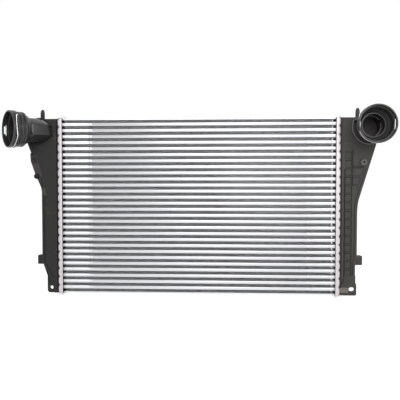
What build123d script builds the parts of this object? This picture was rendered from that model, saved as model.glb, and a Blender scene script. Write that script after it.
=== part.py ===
from build123d import *
import os
from math import acos, asin, atan2, cos, degrees, radians, sin, sqrt, tan

# A charge-air intercooler: a brazed aluminium core of flat tubes and air fins between two
# tube plates (headers), with a moulded plastic tank crimped to each header.
# X runs along the tubes, +Y is the rear face, +Z is up.  The origin is the middle of the
# line between the two top locating pins, on the plane of the tanks' top faces.

os.makedirs("parts", exist_ok=True)

# ------------------------------------------------------------------ core
tube_count = 28
tube_height = 8.0
tube_depth = 32.0
tube_wall = 0.5
tube_nose = 2.4
tube_stickout = 3.0
fin_height = 6.0
fin_inset = 0.8
fin_end_gap = 4.5
core_width = 627.0
turbulator_gauge = 0.3
turbulator_waves = 1
turbulator_play = 0.05
turbulator_inset = 4.0

fin_depth = tube_depth - 2 * fin_inset
row_pitch = tube_height + fin_height
stack_height = tube_count * tube_height + (tube_count + 1) * fin_height

# ------------------------------------------------------------------ side plates
side_plate_height = 3.5
side_plate_gauge = 1.2
hook_start = 9.0
hook_peak = 6.5
hook_peak_inset = 3.0
hook_end_inset = 1.0
hook_inset = 2.0

hook_depth = tube_depth - 2 * hook_inset

tank_height = stack_height + 2 * side_plate_height
tank_top = 0.0
tank_bottom = tank_top - tank_height
core_mid = tank_top - tank_height / 2

# ------------------------------------------------------------------ headers
header_gauge = 1.5
header_width = 10.5
header_overhang = 1.0
header_corner = 2.5
braze_gap = 0.05
lip_cover = 2.3
lip_play = 0.7
crimp_pitch = 19.2
crimp_notch = 3.4
crimp_notch_depth = 2.6

# The tank is as deep as the tubes with their room and its own walls; the header takes both.
tank_wall = 3.0
tube_room = 1.0
tank_depth = tube_depth + 2 * tube_room + 2 * tank_wall
header_depth = tank_depth + 2 * lip_play + 2 * lip_cover + 2 * header_gauge

header_height = tank_height + 2 * header_overhang
header_inner_x = core_width / 2
header_outer_x = header_inner_x + header_width

# ------------------------------------------------------------------ gasket and tank foot
gasket_thickness = 2.0
gasket_width = 5.0
foot_play = 0.2
foot_thickness = header_width - 2 * header_gauge - gasket_thickness

foot_x = header_inner_x + header_gauge + gasket_thickness
foot_depth = header_depth - 2 * header_gauge - 2 * foot_play
foot_height = header_height - 2 * header_gauge - 2 * foot_play

# ------------------------------------------------------------------ tank bodies
tank_round = 9.0
tank_lip_gap = 0.5
cavity_chamfer = 4.0
tank_narrow = 11.0
tank_x = header_outer_x + tank_lip_gap
collar_height = header_height - 2 * header_gauge - 2 * lip_cover - 2 * foot_play
tank_front = -tank_depth / 2

# The two pins sit on the tank tops; the shoulders and the right port keep their way beyond them.
pin_spacing = 730.0
pin_reach = pin_spacing / 2 - tank_x
left_shoulder_margin = 38.0
left_waist_taper = 3.5
right_port_margin = 22.5

# left tank, outline as reach from the crimp line and height below the top or above the bottom
left_shoulder_reach = pin_reach + left_shoulder_margin
left_waist_reach = left_shoulder_reach - left_waist_taper
left_waist_drop = 50.0
left_knee_drop = 143.0
left_knee_ease = 14.0
left_body_reach = 39.5
left_heel_rise = 70.5
left_ankle_rise = 22.5

# right tank
right_knee_drop = 202.0
right_knee_ease = 17.5
right_body_reach = 38.5
right_shin_reach = 35.0
right_shin_rise = 88.0
right_shin_length = 20.0
right_heel_rise = 34.0
right_ankle_rise = 23.5
lobe_bevel = 6.0

# ------------------------------------------------------------------ ports
socket_r = 42.0
socket_mouth_r = 38.0
flange_length = 6.5
groove_r = 40.0
groove_width = 4.5
collar_r = 41.0
collar_end = 33.0
ring_start = 18.0
ring_width = 7.0
ring_depth = 1.6
cone_length = 15.0
seat_r = 36.0
seat_start = 13.0
socket_depth = 38.0
ledge_r = 29.0
ledge_length = 4.0
neck_r = 27.0
neck_wall = 2.5
neck_bore_r = neck_r - neck_wall

base_height = 2.0
left_base_r = 28.5
right_base_r = 38.0
right_base_inset = 6.0
base_front = tank_front - base_height

left_port_yaw = 50.0
left_mouth_margin = 15.0
left_port_drop = 28.5
left_mouth_reach = left_shoulder_reach + left_mouth_margin
left_mouth_front = 80.0
left_neck_length = 53.0
left_elbow_r = 30.0
right_port_drop = 22.0
right_port_reach = pin_reach + right_port_margin
right_mouth_front = 100.0

# ------------------------------------------------------------------ spring clips
wire_r = 1.2
wire_clearance = 0.1
clip_leg = 38.4
clip_open_angle = 37.0
clip_bend = 5.0
window_half_height = 16.0

# ------------------------------------------------------------------ pins and pads
pin_r = 5.0
pin_height = 22.5
pin_bevel = 2.0
pad_height = 21.0
pad_depth = 22.0
pad_reach = 51.7
pad_corner = 1.6
left_pad_rise = 76.5
right_pad_rise = 79.0

# ------------------------------------------------------------------ bottom lugs
lug_thickness = 5.0
lug_corner = 4.0
lug_hole_r = 4.5
left_lug_reach = 27.5
left_lug_top_rise = 47.0
left_lug_setback = 4.0
left_hole_reach = 17.4
left_hole_rise = 12.2
right_lug_reach = 37.3
right_lug_rise = 25.5
right_lug_top_rise = 46.0
right_slot_reach = 25.8
right_slot_rise = 14.4
right_slot_length = 12.0
foot_rib_count = 3
foot_rib_width = 1.4
foot_rib_height = 1.0
foot_rib_pitch = 4.5
foot_rib_length = 12.0

# ------------------------------------------------------------------ screw boss and edge strip
boss_reach = 50.6
boss_drop = 101.9
boss_r = 8.0
boss_height = 8.0
insert_r = 4.6
insert_length = 9.0
insert_bore_r = 2.5
strip_thickness = 12.0
strip_edge = [(61.5, 77.6), (64.8, 81.3), (63.6, 98.7), (54.2, 125.4), (39.7, 159.1), (36.8, 178.8)]
strip_inner_edge = [(23.8, 178.8), (33.1, 142.8), (48.5, 90.0)]
strip_pockets = [(53.0, 93.0), (45.6, 112.5), (35.0, 150.0)]
strip_pocket_width = 6.5
strip_pocket_height = 13.0
strip_pocket_lean = 22.0
strip_pocket_depth = 2.0
strip_boss_r = 6.5
strip_boss_reach = 49.5
strip_boss_drop = 133.0
strip_boss_dimple_r = 2.5
strip_boss_dimple_depth = 1.5

# ------------------------------------------------------------------ ladder ribs of the right tank
ladder_reach = 11.5
ladder_width = 14.0
ladder_rib = 3.0
ladder_pitch = 19.2
ladder_depth = 1.4
ladder_count = 14
ladder_rise = 44.0


def front_plane(y):
    """An upright plane facing the front, at depth y; its own x and y are the part's X and Z."""
    return Plane.XZ.offset(-y)


def across(x):
    """An upright plane across the tubes at x; its own x and y are the part's Y and Z."""
    return Plane.YZ.offset(x)


def row_heights():
    """The middle height of each tube, top one first."""
    first = core_mid + stack_height / 2 - fin_height - tube_height / 2
    return [first - n * row_pitch for n in range(tube_count)]


def left(reach, height):
    """A point of the left tank, by its reach out from the crimp line."""
    return (-tank_x - reach, height)


def right(reach, height):
    """A point of the right tank, by its reach out from the crimp line."""
    return (tank_x + reach, height)


def eased(corner, toward, ease):
    """The point at a short way from a corner, towards another point."""
    way = Vector(*toward) - Vector(*corner)
    spot = Vector(*corner) + way.normalized() * ease
    return (spot.X, spot.Y)


def export(part, name):
    """Label a finished piece and write its file."""
    part.label = name
    export_step(part, f"parts/{name}.step")


# ================================================================== core
# ------------------------------------------------------------------ flat tubes
tube_end_x = header_inner_x + header_gauge + tube_stickout

for number, height in enumerate(row_heights(), start=1):
    with BuildPart() as tube:
        with BuildSketch(across(-tube_end_x)) as tube_section:
            with Locations((0, height)):
                Rectangle(tube_depth, tube_height)
            chamfer(tube_section.vertices(), tube_nose)
            with Locations((0, height)):
                Rectangle(
                    tube_depth - 2 * tube_nose,
                    tube_height - 2 * tube_wall,
                    mode=Mode.SUBTRACT,
                )
        extrude(amount=2 * tube_end_x)
    export(tube.part, f"tube_{number:02d}")

# ------------------------------------------------------------------ turbulators inside the tubes
wave_height = tube_height - 2 * tube_wall - 2 * turbulator_play - 2 * turbulator_gauge
wave_span = tube_depth - 2 * tube_nose - 2 * tube_wall
half_waves = 2 * turbulator_waves
wave = [
    (wave_span * (k / half_waves - 0.5), wave_height / 2 * (-1) ** k)
    for k in range(half_waves + 1)
]

with BuildPart() as turbulators:
    with BuildSketch(across(-tube_end_x + turbulator_inset)):
        for height in row_heights():
            upper = [(y, height + z + turbulator_gauge) for y, z in wave]
            lower = [(y, height + z - turbulator_gauge) for y, z in reversed(wave)]
            with BuildLine():
                Polyline(*upper, *lower, close=True)
            make_face()
    extrude(amount=2 * (tube_end_x - turbulator_inset))
export(turbulators.part, "tube_turbulators")

# ------------------------------------------------------------------ air fins
fin_length = core_width - 2 * fin_end_gap
fin_rows = [height + row_pitch / 2 for height in row_heights()]
fin_rows.append(fin_rows[-1] - row_pitch)

with BuildPart() as air_fins:
    with Locations(*[(0, 0, height) for height in fin_rows]):
        Box(fin_length, fin_depth, fin_height)
export(air_fins.part, "air_fins")

# ------------------------------------------------------------------ side plates
plate_base = core_mid + stack_height / 2
header_end = core_mid + header_height / 2
hook_x = header_inner_x - hook_start
hook_line = [
    (hook_x, plate_base + side_plate_gauge),
    (hook_x, plate_base + side_plate_height),
    (header_inner_x + hook_peak_inset, header_end + hook_peak),
    (header_outer_x - hook_end_inset, header_end + side_plate_gauge),
    (header_outer_x - hook_end_inset, header_end),
    (header_inner_x, header_end),
    (header_inner_x, plate_base + side_plate_gauge),
]

with BuildPart() as top_side_plate:
    with BuildSketch(across(-core_width / 2)):
        with Locations((0, plate_base)):
            Rectangle(tube_depth, side_plate_height, align=(Align.CENTER, Align.MIN))
        with Locations((0, plate_base + side_plate_gauge)):
            Rectangle(
                tube_depth - 2 * side_plate_gauge,
                side_plate_height,
                align=(Align.CENTER, Align.MIN),
                mode=Mode.SUBTRACT,
            )
    extrude(amount=core_width)
    with BuildSketch(Plane.XZ):
        with BuildLine():
            Polyline(*hook_line, close=True)
        make_face()
        mirror(about=Plane.YZ)
    extrude(amount=hook_depth / 2, both=True)
export(top_side_plate.part, "top_side_plate")

with BuildPart() as bottom_side_plate:
    mirror(top_side_plate.part, about=Plane.XY.offset(core_mid))
export(bottom_side_plate.part, "bottom_side_plate")

# ================================================================== headers
lip_depth = header_depth - 2 * header_gauge - 2 * lip_cover
lip_height = header_height - 2 * header_gauge - 2 * lip_cover
notch_count = int(header_height / crimp_pitch)

with BuildPart() as right_header:
    with BuildSketch(across(header_inner_x)):
        with Locations((0, core_mid)):
            RectangleRounded(header_depth, header_height, header_corner)
    extrude(amount=header_width)
    with BuildSketch(across(header_inner_x + header_gauge)):
        with Locations((0, core_mid)):
            Rectangle(header_depth - 2 * header_gauge, header_height - 2 * header_gauge)
    extrude(amount=header_width - 2 * header_gauge, mode=Mode.SUBTRACT)
    with BuildSketch(across(header_outer_x)):
        with Locations((0, core_mid)):
            Rectangle(lip_depth, lip_height)
    extrude(amount=-header_gauge, mode=Mode.SUBTRACT)
    with BuildSketch(across(header_inner_x)) as tube_slots:
        with Locations(*[(0, height) for height in row_heights()]):
            Rectangle(tube_depth + 2 * braze_gap, tube_height + 2 * braze_gap)
        chamfer(tube_slots.vertices(), tube_nose)
    extrude(amount=header_gauge, mode=Mode.SUBTRACT)
    with BuildSketch(Plane.XZ):
        with Locations((header_outer_x, core_mid)):
            with GridLocations(0, crimp_pitch, 1, notch_count):
                with BuildLine():
                    Polyline(
                        (0, crimp_notch / 2),
                        (-crimp_notch_depth, 0),
                        (0, -crimp_notch / 2),
                        close=True,
                    )
                make_face()
    extrude(amount=header_depth, both=True, mode=Mode.SUBTRACT)
export(right_header.part, "right_header")

with BuildPart() as left_header:
    mirror(right_header.part, about=Plane.YZ)
export(left_header.part, "left_header")

# ------------------------------------------------------------------ tank gaskets
with BuildPart() as right_gasket:
    with BuildSketch(across(header_inner_x + header_gauge)):
        with Locations((0, core_mid)):
            Rectangle(foot_depth, foot_height)
            Rectangle(
                foot_depth - 2 * gasket_width,
                foot_height - 2 * gasket_width,
                mode=Mode.SUBTRACT,
            )
    extrude(amount=gasket_thickness)
export(right_gasket.part, "right_tank_gasket")

with BuildPart() as left_gasket:
    mirror(right_gasket.part, about=Plane.YZ)
export(left_gasket.part, "left_tank_gasket")


# ================================================================== tanks
def tank_form(outline):
    """The rounded outer form of a tank: its outline pulled to the tank's depth."""
    with BuildPart() as form:
        with BuildSketch(Plane.XZ):
            make_face(outline)
        extrude(amount=tank_depth / 2, both=True)
        rims = form.faces().filter_by(Axis.Y).edges().filter_by(is_free_rim)
        fillet(rims, tank_round)
    return form.part


def tank_hollow(outline, side):
    """The air space of a tank: its outline less the wall, open towards the tubes."""
    with BuildPart() as hollow:
        with BuildSketch(Plane.XZ):
            make_face(outline)
            offset(amount=-tank_wall, kind=Kind.INTERSECTION)
        extrude(amount=tank_depth / 2 - tank_wall, both=True)
        rims = hollow.faces().filter_by(Axis.Y).edges()
        chamfer(rims.filter_by(lambda rim: not is_crimp_side(rim)), cavity_chamfer)
        with BuildSketch(across(side * foot_x)):
            with Locations((0, core_mid)):
                Rectangle(tank_depth - 2 * tank_wall, collar_height - 2 * tank_wall)
        extrude(amount=side * (tank_x + 2 * tank_wall - foot_x))
    return hollow.part


def is_crimp_side(rim):
    """True for a rim that runs along the crimp line."""
    return abs(rim.center().X) < tank_x + tank_wall + 0.1


def is_free_rim(rim):
    """True for a rim that is rounded: neither at the crimp line nor at the bottom end."""
    return abs(rim.center().X) > tank_x + 0.1 and rim.center().Z > tank_bottom + 0.1


def tank_foot(side):
    """The collar and foot flange that the header's lip grips, on the left (-1) or right (1)."""
    with BuildPart() as foot:
        with BuildSketch(across(side * foot_x)):
            with Locations((0, core_mid)):
                Rectangle(foot_depth, foot_height)
        extrude(amount=side * foot_thickness)
        with BuildSketch(across(side * foot_x)):
            with Locations((0, core_mid)):
                Rectangle(tank_depth, collar_height)
        extrude(amount=side * (tank_x - foot_x))
    return foot.part


def port_plane(mouth, back):
    """The upright plane through a port's axis: its own x is up, its own y runs back."""
    return Plane(origin=mouth, x_dir=(0, 0, 1), z_dir=Vector(0, 0, 1).cross(Vector(*back)))


def port_shell(mouth, back, length):
    """The outer form of a quick-fit socket and its neck, turned about the port's axis."""
    groove_end = flange_length + groove_width
    profile = [
        (0, 0),
        (socket_r, 0),
        (socket_r, flange_length),
        (groove_r, flange_length),
        (groove_r, groove_end),
        (collar_r, groove_end),
        (collar_r, ring_start),
        (collar_r - ring_depth, ring_start + ring_width / 2),
        (collar_r, ring_start + ring_width),
        (collar_r, collar_end),
        (neck_r, collar_end + cone_length),
        (neck_r, length),
        (0, length),
    ]
    with BuildPart() as shell:
        with BuildSketch(port_plane(mouth, back)):
            with BuildLine():
                Polyline(*profile, close=True)
            make_face()
        revolve(axis=Axis(mouth, back))
    return shell.part


def port_passage(mouth, back, length):
    """The inside of a socket and its neck: mouth, seal seat, ledge and bore."""
    profile = [
        (0, 0),
        (socket_mouth_r, 0),
        (socket_mouth_r, seat_start),
        (seat_r, seat_start),
        (seat_r, socket_depth),
        (ledge_r, socket_depth),
        (neck_bore_r, socket_depth + ledge_length),
        (neck_bore_r, length),
        (0, length),
    ]
    with BuildPart() as passage:
        with BuildSketch(port_plane(mouth, back)):
            with BuildLine():
                Polyline(*profile, close=True)
            make_face()
        revolve(axis=Axis(mouth, back))
    return passage.part


def port_base(outline, spot, radius, edge_inset):
    """The low round base on a tank's front that carries a socket's neck."""
    with BuildPart() as base:
        with BuildSketch(front_plane(base_front)):
            make_face(outline)
            if edge_inset:
                offset(amount=-edge_inset, kind=Kind.INTERSECTION)
            with Locations(spot):
                Circle(radius, mode=Mode.INTERSECT)
        extrude(amount=-base_height - tank_round)
    return base.part


def clip_windows(mouth, back):
    """The two windows in the groove through which the spring clip's legs enter the socket."""
    middle = flange_length + groove_width / 2
    with BuildPart() as windows:
        with BuildSketch(port_plane(mouth, back)):
            with Locations((0, middle)):
                Rectangle(2 * window_half_height, groove_width)
        extrude(amount=socket_r, both=True)
    return windows.part


def elbow_bends(mouth, back):
    """The left neck's line: where it leaves the port's axis, its two bends and its end."""
    start = Vector(*mouth) + Vector(*back) * left_neck_length
    step = left_elbow_r * tan(radians(left_port_yaw / 4))
    half_turned = Vector(sin(radians(left_port_yaw / 2)), cos(radians(left_port_yaw / 2)), 0)
    first_bend = start + Vector(*back) * step
    second_bend = first_bend + half_turned * 2 * step
    return start, first_bend, second_bend, Vector(second_bend.X, base_front, second_bend.Z)


def duct_elbow(mouth, back, radius):
    """The left neck's bend, mitred in two steps to straight back, and its run to the tank."""
    bends = elbow_bends(mouth, back)
    with BuildPart() as elbow:
        with BuildLine() as duct_line:
            Polyline(*bends)
        with BuildSketch(Plane(origin=bends[0], x_dir=(0, 0, 1), z_dir=back)):
            Circle(radius)
        sweep(path=duct_line.line, transition=Transition.RIGHT)
    return elbow.part


def locating_pin(x):
    """A round pin with a bevelled tip, standing on a tank's top face."""
    with BuildPart() as pin:
        with BuildSketch(Plane.XZ):
            with BuildLine():
                Polyline(
                    (0, -tank_wall),
                    (pin_r, -tank_wall),
                    (pin_r, pin_height - pin_bevel),
                    (pin_r - pin_bevel, pin_height),
                    (0, pin_height),
                    close=True,
                )
            make_face()
        revolve(axis=Axis.Z)
    return pin.part.moved(Location((x, 0, tank_top)))


def rest_pad(side, reach_in, rise):
    """The block that stands out from a tank's side and sits in the car's bracket."""
    height = tank_bottom + rise
    with BuildPart() as pad:
        with BuildSketch(Plane.XZ):
            with Locations((side * (tank_x + (reach_in + pad_reach) / 2), height)):
                RectangleRounded(pad_reach - reach_in, pad_height, pad_corner)
        extrude(amount=pad_depth / 2, both=True)
    return pad.part


def tangent_spot(centre, radius, outside):
    """Where a line from a point touches a circle, on the side away from the core."""
    gap = Vector(*centre) - Vector(*outside)
    heading = atan2(gap.Y, gap.X) - asin(radius / gap.length)
    run = sqrt(gap.length**2 - radius**2)
    return (outside[0] + run * cos(heading), outside[1] + run * sin(heading))


# ------------------------------------------------------------------ left tank
left_waist = left(left_waist_reach, tank_top - left_waist_drop)
left_knee = left(left_body_reach, tank_top - left_knee_drop)
left_heel = left(left_body_reach, tank_bottom + left_heel_rise)

with BuildLine() as left_outline:
    Polyline(
        left(0, tank_top),
        left(left_shoulder_reach, tank_top),
        left_waist,
        eased(left_knee, left_waist, left_knee_ease),
        eased(left_knee, left_heel, left_knee_ease),
        left_heel,
        left(tank_narrow, tank_bottom + left_ankle_rise),
        left(tank_narrow, tank_bottom),
        left(0, tank_bottom),
        close=True,
    )

left_back = (sin(radians(left_port_yaw)), cos(radians(left_port_yaw)), 0)
left_mouth = (-tank_x - left_mouth_reach, -left_mouth_front, tank_top - left_port_drop)

left_form = tank_form(left_outline.edges())
left_hollow = tank_hollow(left_outline.edges(), -1)
left_foot = tank_foot(-1)
left_neck_end = elbow_bends(left_mouth, left_back)[-1]
left_neck_spot = (left_neck_end.X, left_neck_end.Z)
left_base = port_base(left_outline.edges(), left_neck_spot, left_base_r, 0)
left_pin = locating_pin(-pin_spacing / 2)
left_pad = rest_pad(-1, tank_narrow + tank_round, left_pad_rise)

strip_line = [left(reach, tank_top - drop) for reach, drop in strip_edge + strip_inner_edge]
pocket_spots = [left(reach, tank_top - drop) for reach, drop in strip_pockets]

with BuildPart() as left_tank:
    add(left_form)
    add(left_foot)
    add(left_pin)
    add(left_pad)
    add(left_base)
    with BuildSketch(front_plane(tank_front)):
        with BuildLine():
            Polyline(*strip_line, close=True)
        make_face()
        with Locations(left(strip_boss_reach, tank_top - strip_boss_drop)):
            Circle(strip_boss_r)
    extrude(amount=-strip_thickness)
    with BuildSketch(front_plane(tank_front + left_lug_setback)):
        with BuildLine():
            Polyline(
                left(tank_narrow - tank_wall, tank_bottom),
                left(left_lug_reach, tank_bottom),
                left(left_lug_reach, tank_bottom + left_lug_top_rise),
                left(left_body_reach - tank_wall, tank_bottom + left_heel_rise),
                left(tank_narrow - tank_wall, tank_bottom + left_heel_rise),
                close=True,
            )
        make_face()
    extrude(amount=-lug_thickness)
    with BuildSketch(front_plane(tank_front)):
        with Locations(*[Location((*spot, 0), (0, 0, strip_pocket_lean)) for spot in pocket_spots]):
            Rectangle(strip_pocket_width, strip_pocket_height)
    extrude(amount=-strip_pocket_depth, mode=Mode.SUBTRACT)
    add(left_hollow, mode=Mode.SUBTRACT)
    with BuildSketch(front_plane(base_front)):
        with Locations(left_neck_spot):
            Circle(neck_bore_r)
    extrude(amount=-base_height - tank_wall - cavity_chamfer, mode=Mode.SUBTRACT)
    with BuildSketch(front_plane(tank_front)):
        with Locations(left(left_hole_reach, tank_bottom + left_hole_rise)):
            Circle(lug_hole_r)
    extrude(amount=-tank_depth, mode=Mode.SUBTRACT)
    with BuildSketch(front_plane(tank_front)):
        with Locations(left(strip_boss_reach, tank_top - strip_boss_drop)):
            Circle(strip_boss_dimple_r)
    extrude(amount=-strip_boss_dimple_depth, mode=Mode.SUBTRACT)
export(left_tank.part, "left_tank")

# ------------------------------------------------------------------ left socket
with BuildPart() as left_duct:
    add(port_passage(left_mouth, left_back, left_neck_length))
    add(duct_elbow(left_mouth, left_back, neck_bore_r))

with BuildPart() as left_socket:
    add(port_shell(left_mouth, left_back, left_neck_length))
    add(duct_elbow(left_mouth, left_back, neck_r))
    add(left_duct.part, mode=Mode.SUBTRACT)
    add(clip_windows(left_mouth, left_back), mode=Mode.SUBTRACT)

# ------------------------------------------------------------------ right tank
port_spot = right(right_port_reach, tank_top - right_port_drop)
right_knee = right(right_body_reach, tank_top - right_knee_drop)
right_shin = right(right_body_reach, tank_bottom + right_shin_rise)
port_edge = tangent_spot(port_spot, neck_r, right_knee)

with BuildLine() as right_outline:
    Polyline(
        right(0, tank_top),
        right(right_port_reach, tank_top),
        port_edge,
        eased(right_knee, port_edge, right_knee_ease),
        eased(right_knee, right_shin, right_knee_ease),
        right_shin,
        right(right_shin_reach, tank_bottom + right_shin_rise - right_shin_length),
        right(right_shin_reach, tank_bottom + right_heel_rise),
        right(tank_narrow, tank_bottom + right_ankle_rise),
        right(tank_narrow, tank_bottom),
        right(0, tank_bottom),
        close=True,
    )

right_back = (0, 1, 0)
right_mouth = (port_spot[0], -right_mouth_front, port_spot[1])
right_neck_length = right_mouth_front + base_front
lobe_length = tank_depth + base_height

right_form = tank_form(right_outline.edges())
right_hollow = tank_hollow(right_outline.edges(), 1)
right_foot = tank_foot(1)
right_base = port_base(right_outline.edges(), port_spot, right_base_r, right_base_inset)
right_pin = locating_pin(pin_spacing / 2)
right_pad = rest_pad(1, tank_narrow + tank_round, right_pad_rise)
boss_spot = right(boss_reach, tank_top - boss_drop)
ladder_spots = [
    right(ladder_reach + ladder_width / 2, tank_bottom + ladder_rise + n * ladder_pitch)
    for n in range(ladder_count)
]

with BuildPart() as right_lobe:
    with BuildSketch(front_plane(base_front)):
        with Locations(port_spot):
            Circle(neck_r)
    extrude(amount=-lobe_length)
    chamfer(right_lobe.edges().sort_by(Axis.Y)[-1], lobe_bevel)

with BuildPart() as right_tank:
    add(right_form)
    add(right_foot)
    add(right_pin)
    add(right_pad)
    add(right_base)
    add(right_lobe.part)
    with BuildSketch(front_plane(tank_front)):
        with BuildLine():
            FilletPolyline(
                right(tank_narrow - tank_wall, tank_bottom),
                right(right_lug_reach, tank_bottom),
                right(right_lug_reach, tank_bottom + right_lug_rise),
                right(right_shin_reach, tank_bottom + right_lug_rise),
                right(right_shin_reach, tank_bottom + right_lug_top_rise),
                right(tank_narrow - tank_wall, tank_bottom + right_lug_top_rise),
                radius=[0, lug_corner, 0, 0, 0, 0],
                close=True,
            )
        make_face()
    extrude(amount=-lug_thickness)
    with BuildSketch(front_plane(tank_front - foot_rib_height)):
        with Locations(right(tank_narrow - tank_wall, tank_bottom + right_slot_rise)):
            with GridLocations(foot_rib_pitch, 0, foot_rib_count, 1):
                Rectangle(foot_rib_width, foot_rib_length)
    extrude(amount=-foot_rib_height - lug_thickness)
    with BuildSketch(front_plane(tank_front - boss_height)):
        with Locations(boss_spot):
            Circle(boss_r)
    extrude(amount=-boss_height - tank_wall)
    for face_y in (tank_front, -tank_front - ladder_depth):
        with BuildSketch(front_plane(face_y)):
            with Locations(*ladder_spots):
                Rectangle(ladder_width, ladder_pitch - ladder_rib)
        extrude(amount=-ladder_depth, mode=Mode.SUBTRACT)
    add(right_hollow, mode=Mode.SUBTRACT)
    with BuildSketch(front_plane(base_front)):
        with Locations(port_spot):
            Circle(neck_bore_r)
    extrude(amount=tank_round - lobe_length, mode=Mode.SUBTRACT)
    with BuildSketch(front_plane(tank_front)):
        with Locations(right(right_slot_reach, tank_bottom + right_slot_rise)):
            SlotOverall(right_slot_length, 2 * lug_hole_r)
    extrude(amount=-tank_depth, mode=Mode.SUBTRACT)
    with BuildSketch(front_plane(tank_front - boss_height)):
        with Locations(boss_spot):
            RegularPolygon(insert_r, side_count=6)
    extrude(amount=-insert_length, mode=Mode.SUBTRACT)
export(right_tank.part, "right_tank")

# ------------------------------------------------------------------ right socket
with BuildPart() as right_socket:
    add(port_shell(right_mouth, right_back, right_neck_length))
    add(port_passage(right_mouth, right_back, right_neck_length), mode=Mode.SUBTRACT)
    add(clip_windows(right_mouth, right_back), mode=Mode.SUBTRACT)

with BuildPart() as port_sockets:
    add(left_socket.part)
    add(right_socket.part)
export(port_sockets.part, "port_sockets")

# ------------------------------------------------------------------ threaded insert
with BuildPart() as insert:
    with BuildSketch(front_plane(tank_front - boss_height)):
        with Locations(boss_spot):
            RegularPolygon(insert_r, side_count=6)
            Circle(insert_bore_r, mode=Mode.SUBTRACT)
    extrude(amount=-insert_length)
export(insert.part, "boss_insert")


# ================================================================== spring clips
def spring_clip(mouth, back):
    """A bent wire clip in the socket's groove, open at the top, its legs crossing the mouth's edge."""
    ring_r = groove_r + wire_r + wire_clearance
    leg_half = sqrt(ring_r**2 - clip_leg**2)
    side_angle = degrees(acos(clip_leg / ring_r))
    low_span = 90 - side_angle - clip_open_angle
    middle = Vector(*mouth) + Vector(*back) * (flange_length + groove_width / 2)
    face_on = Plane(origin=middle, x_dir=Vector(0, 0, 1).cross(Vector(*back)), z_dir=Vector(*back))
    with BuildLine() as bend:
        CenterArc((0, 0), ring_r, side_angle, 180 - 2 * side_angle)
        Line((clip_leg, leg_half), (clip_leg, -leg_half))
        Line((-clip_leg, leg_half), (-clip_leg, -leg_half))
        CenterArc((0, 0), ring_r, -side_angle, -low_span)
        CenterArc((0, 0), ring_r, 180 + side_angle, low_span)
        fillet(bend.vertices().filter_by(lambda spot: abs(abs(spot.X) - clip_leg) < 0.01), clip_bend)
    path = face_on.from_local_coords(bend.wires()[0])
    with BuildPart() as clip:
        with BuildSketch(Plane(origin=path @ 0, z_dir=path % 0)):
            RegularPolygon(wire_r, side_count=6)
        sweep(path=path)
    return clip.part


left_clip = spring_clip(left_mouth, left_back)
right_clip = spring_clip(right_mouth, right_back)

with BuildPart() as spring_clips:
    add(left_clip)
    add(right_clip)
export(spring_clips.part, "port_spring_clips")
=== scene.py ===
"""Looks of a charge air intercooler, built round its packed CAD part.

The file is laid out as an add-on with one operator for each piece or group of like pieces.
Sizes are in metres, in the frame of the CAD part; tables of shapes are in millimetres.
"""

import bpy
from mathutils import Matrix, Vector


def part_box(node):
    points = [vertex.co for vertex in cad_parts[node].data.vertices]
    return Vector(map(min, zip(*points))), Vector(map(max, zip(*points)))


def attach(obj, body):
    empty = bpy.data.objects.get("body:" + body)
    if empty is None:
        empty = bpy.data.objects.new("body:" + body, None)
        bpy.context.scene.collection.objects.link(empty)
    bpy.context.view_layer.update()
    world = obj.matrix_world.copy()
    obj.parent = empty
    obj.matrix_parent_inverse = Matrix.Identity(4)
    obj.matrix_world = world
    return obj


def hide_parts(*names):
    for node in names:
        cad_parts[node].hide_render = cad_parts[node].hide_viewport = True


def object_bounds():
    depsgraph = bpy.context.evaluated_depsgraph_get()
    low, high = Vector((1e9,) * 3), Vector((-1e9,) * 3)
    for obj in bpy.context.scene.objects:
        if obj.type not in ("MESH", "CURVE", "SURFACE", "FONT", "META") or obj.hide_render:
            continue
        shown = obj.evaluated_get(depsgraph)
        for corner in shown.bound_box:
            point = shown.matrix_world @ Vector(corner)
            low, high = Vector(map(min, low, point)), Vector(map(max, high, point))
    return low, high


bl_info = {
    "name": "Intercooler looks",
    "version": (1, 0, 0),
    "blender": (4, 5, 0),
    "location": "View3D > Sidebar > Intercooler",
    "description": "Builds the visible surfaces and finishes of a charge air intercooler",
    "category": "Object",
}

import bpy
import numpy as np
from bpy.props import FloatProperty, FloatVectorProperty, IntProperty, PointerProperty
from mathutils import Matrix, Vector

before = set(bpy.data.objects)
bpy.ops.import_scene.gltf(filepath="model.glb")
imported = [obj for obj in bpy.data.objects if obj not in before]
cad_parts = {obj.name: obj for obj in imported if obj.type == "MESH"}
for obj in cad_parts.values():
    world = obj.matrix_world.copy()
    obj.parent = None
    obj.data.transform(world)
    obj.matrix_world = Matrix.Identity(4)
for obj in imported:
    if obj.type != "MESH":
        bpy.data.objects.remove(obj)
CAD_BOX = [list(corner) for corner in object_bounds()]

MM = 0.001
TURN = 2 * np.pi
TUBE_NODES = sorted(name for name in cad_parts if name[:5] == "tube_" and name[5:].isdigit())
TUBE_BOXES = [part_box(name) for name in TUBE_NODES]
TUBE_MIDS = np.array([(low.z + high.z) / 2 for low, high in TUBE_BOXES])
FIN_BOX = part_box("air_fins")
HEADER_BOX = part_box("right_header")

# Points nearer to each other than this are one point.
WELD = 1e-7
# Keeps a division away from zero.
TINY = 1e-12
# A rounded corner takes up to this share of each side that meets in it.
SIDE_SHARE = 0.48
# Stops along a quarter round.
ROUND_STOPS = np.linspace(0, np.pi / 2, 9)

# Where the tanks begin, how high they stand, and where straps have marked the tubes.
CRIMP_X = 324.5 * MM
STRAPS = np.array([(-253.0, -250.6), (-246.6, -244.4), (248.4, 250.6), (256.8, 259.4)]) * MM
TANK_TOP = 0.0
TANK_BOTTOM = -405.0 * MM
TANK_HALF = 20.0 * MM
STRAP_EASE = 0.6 * MM


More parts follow.
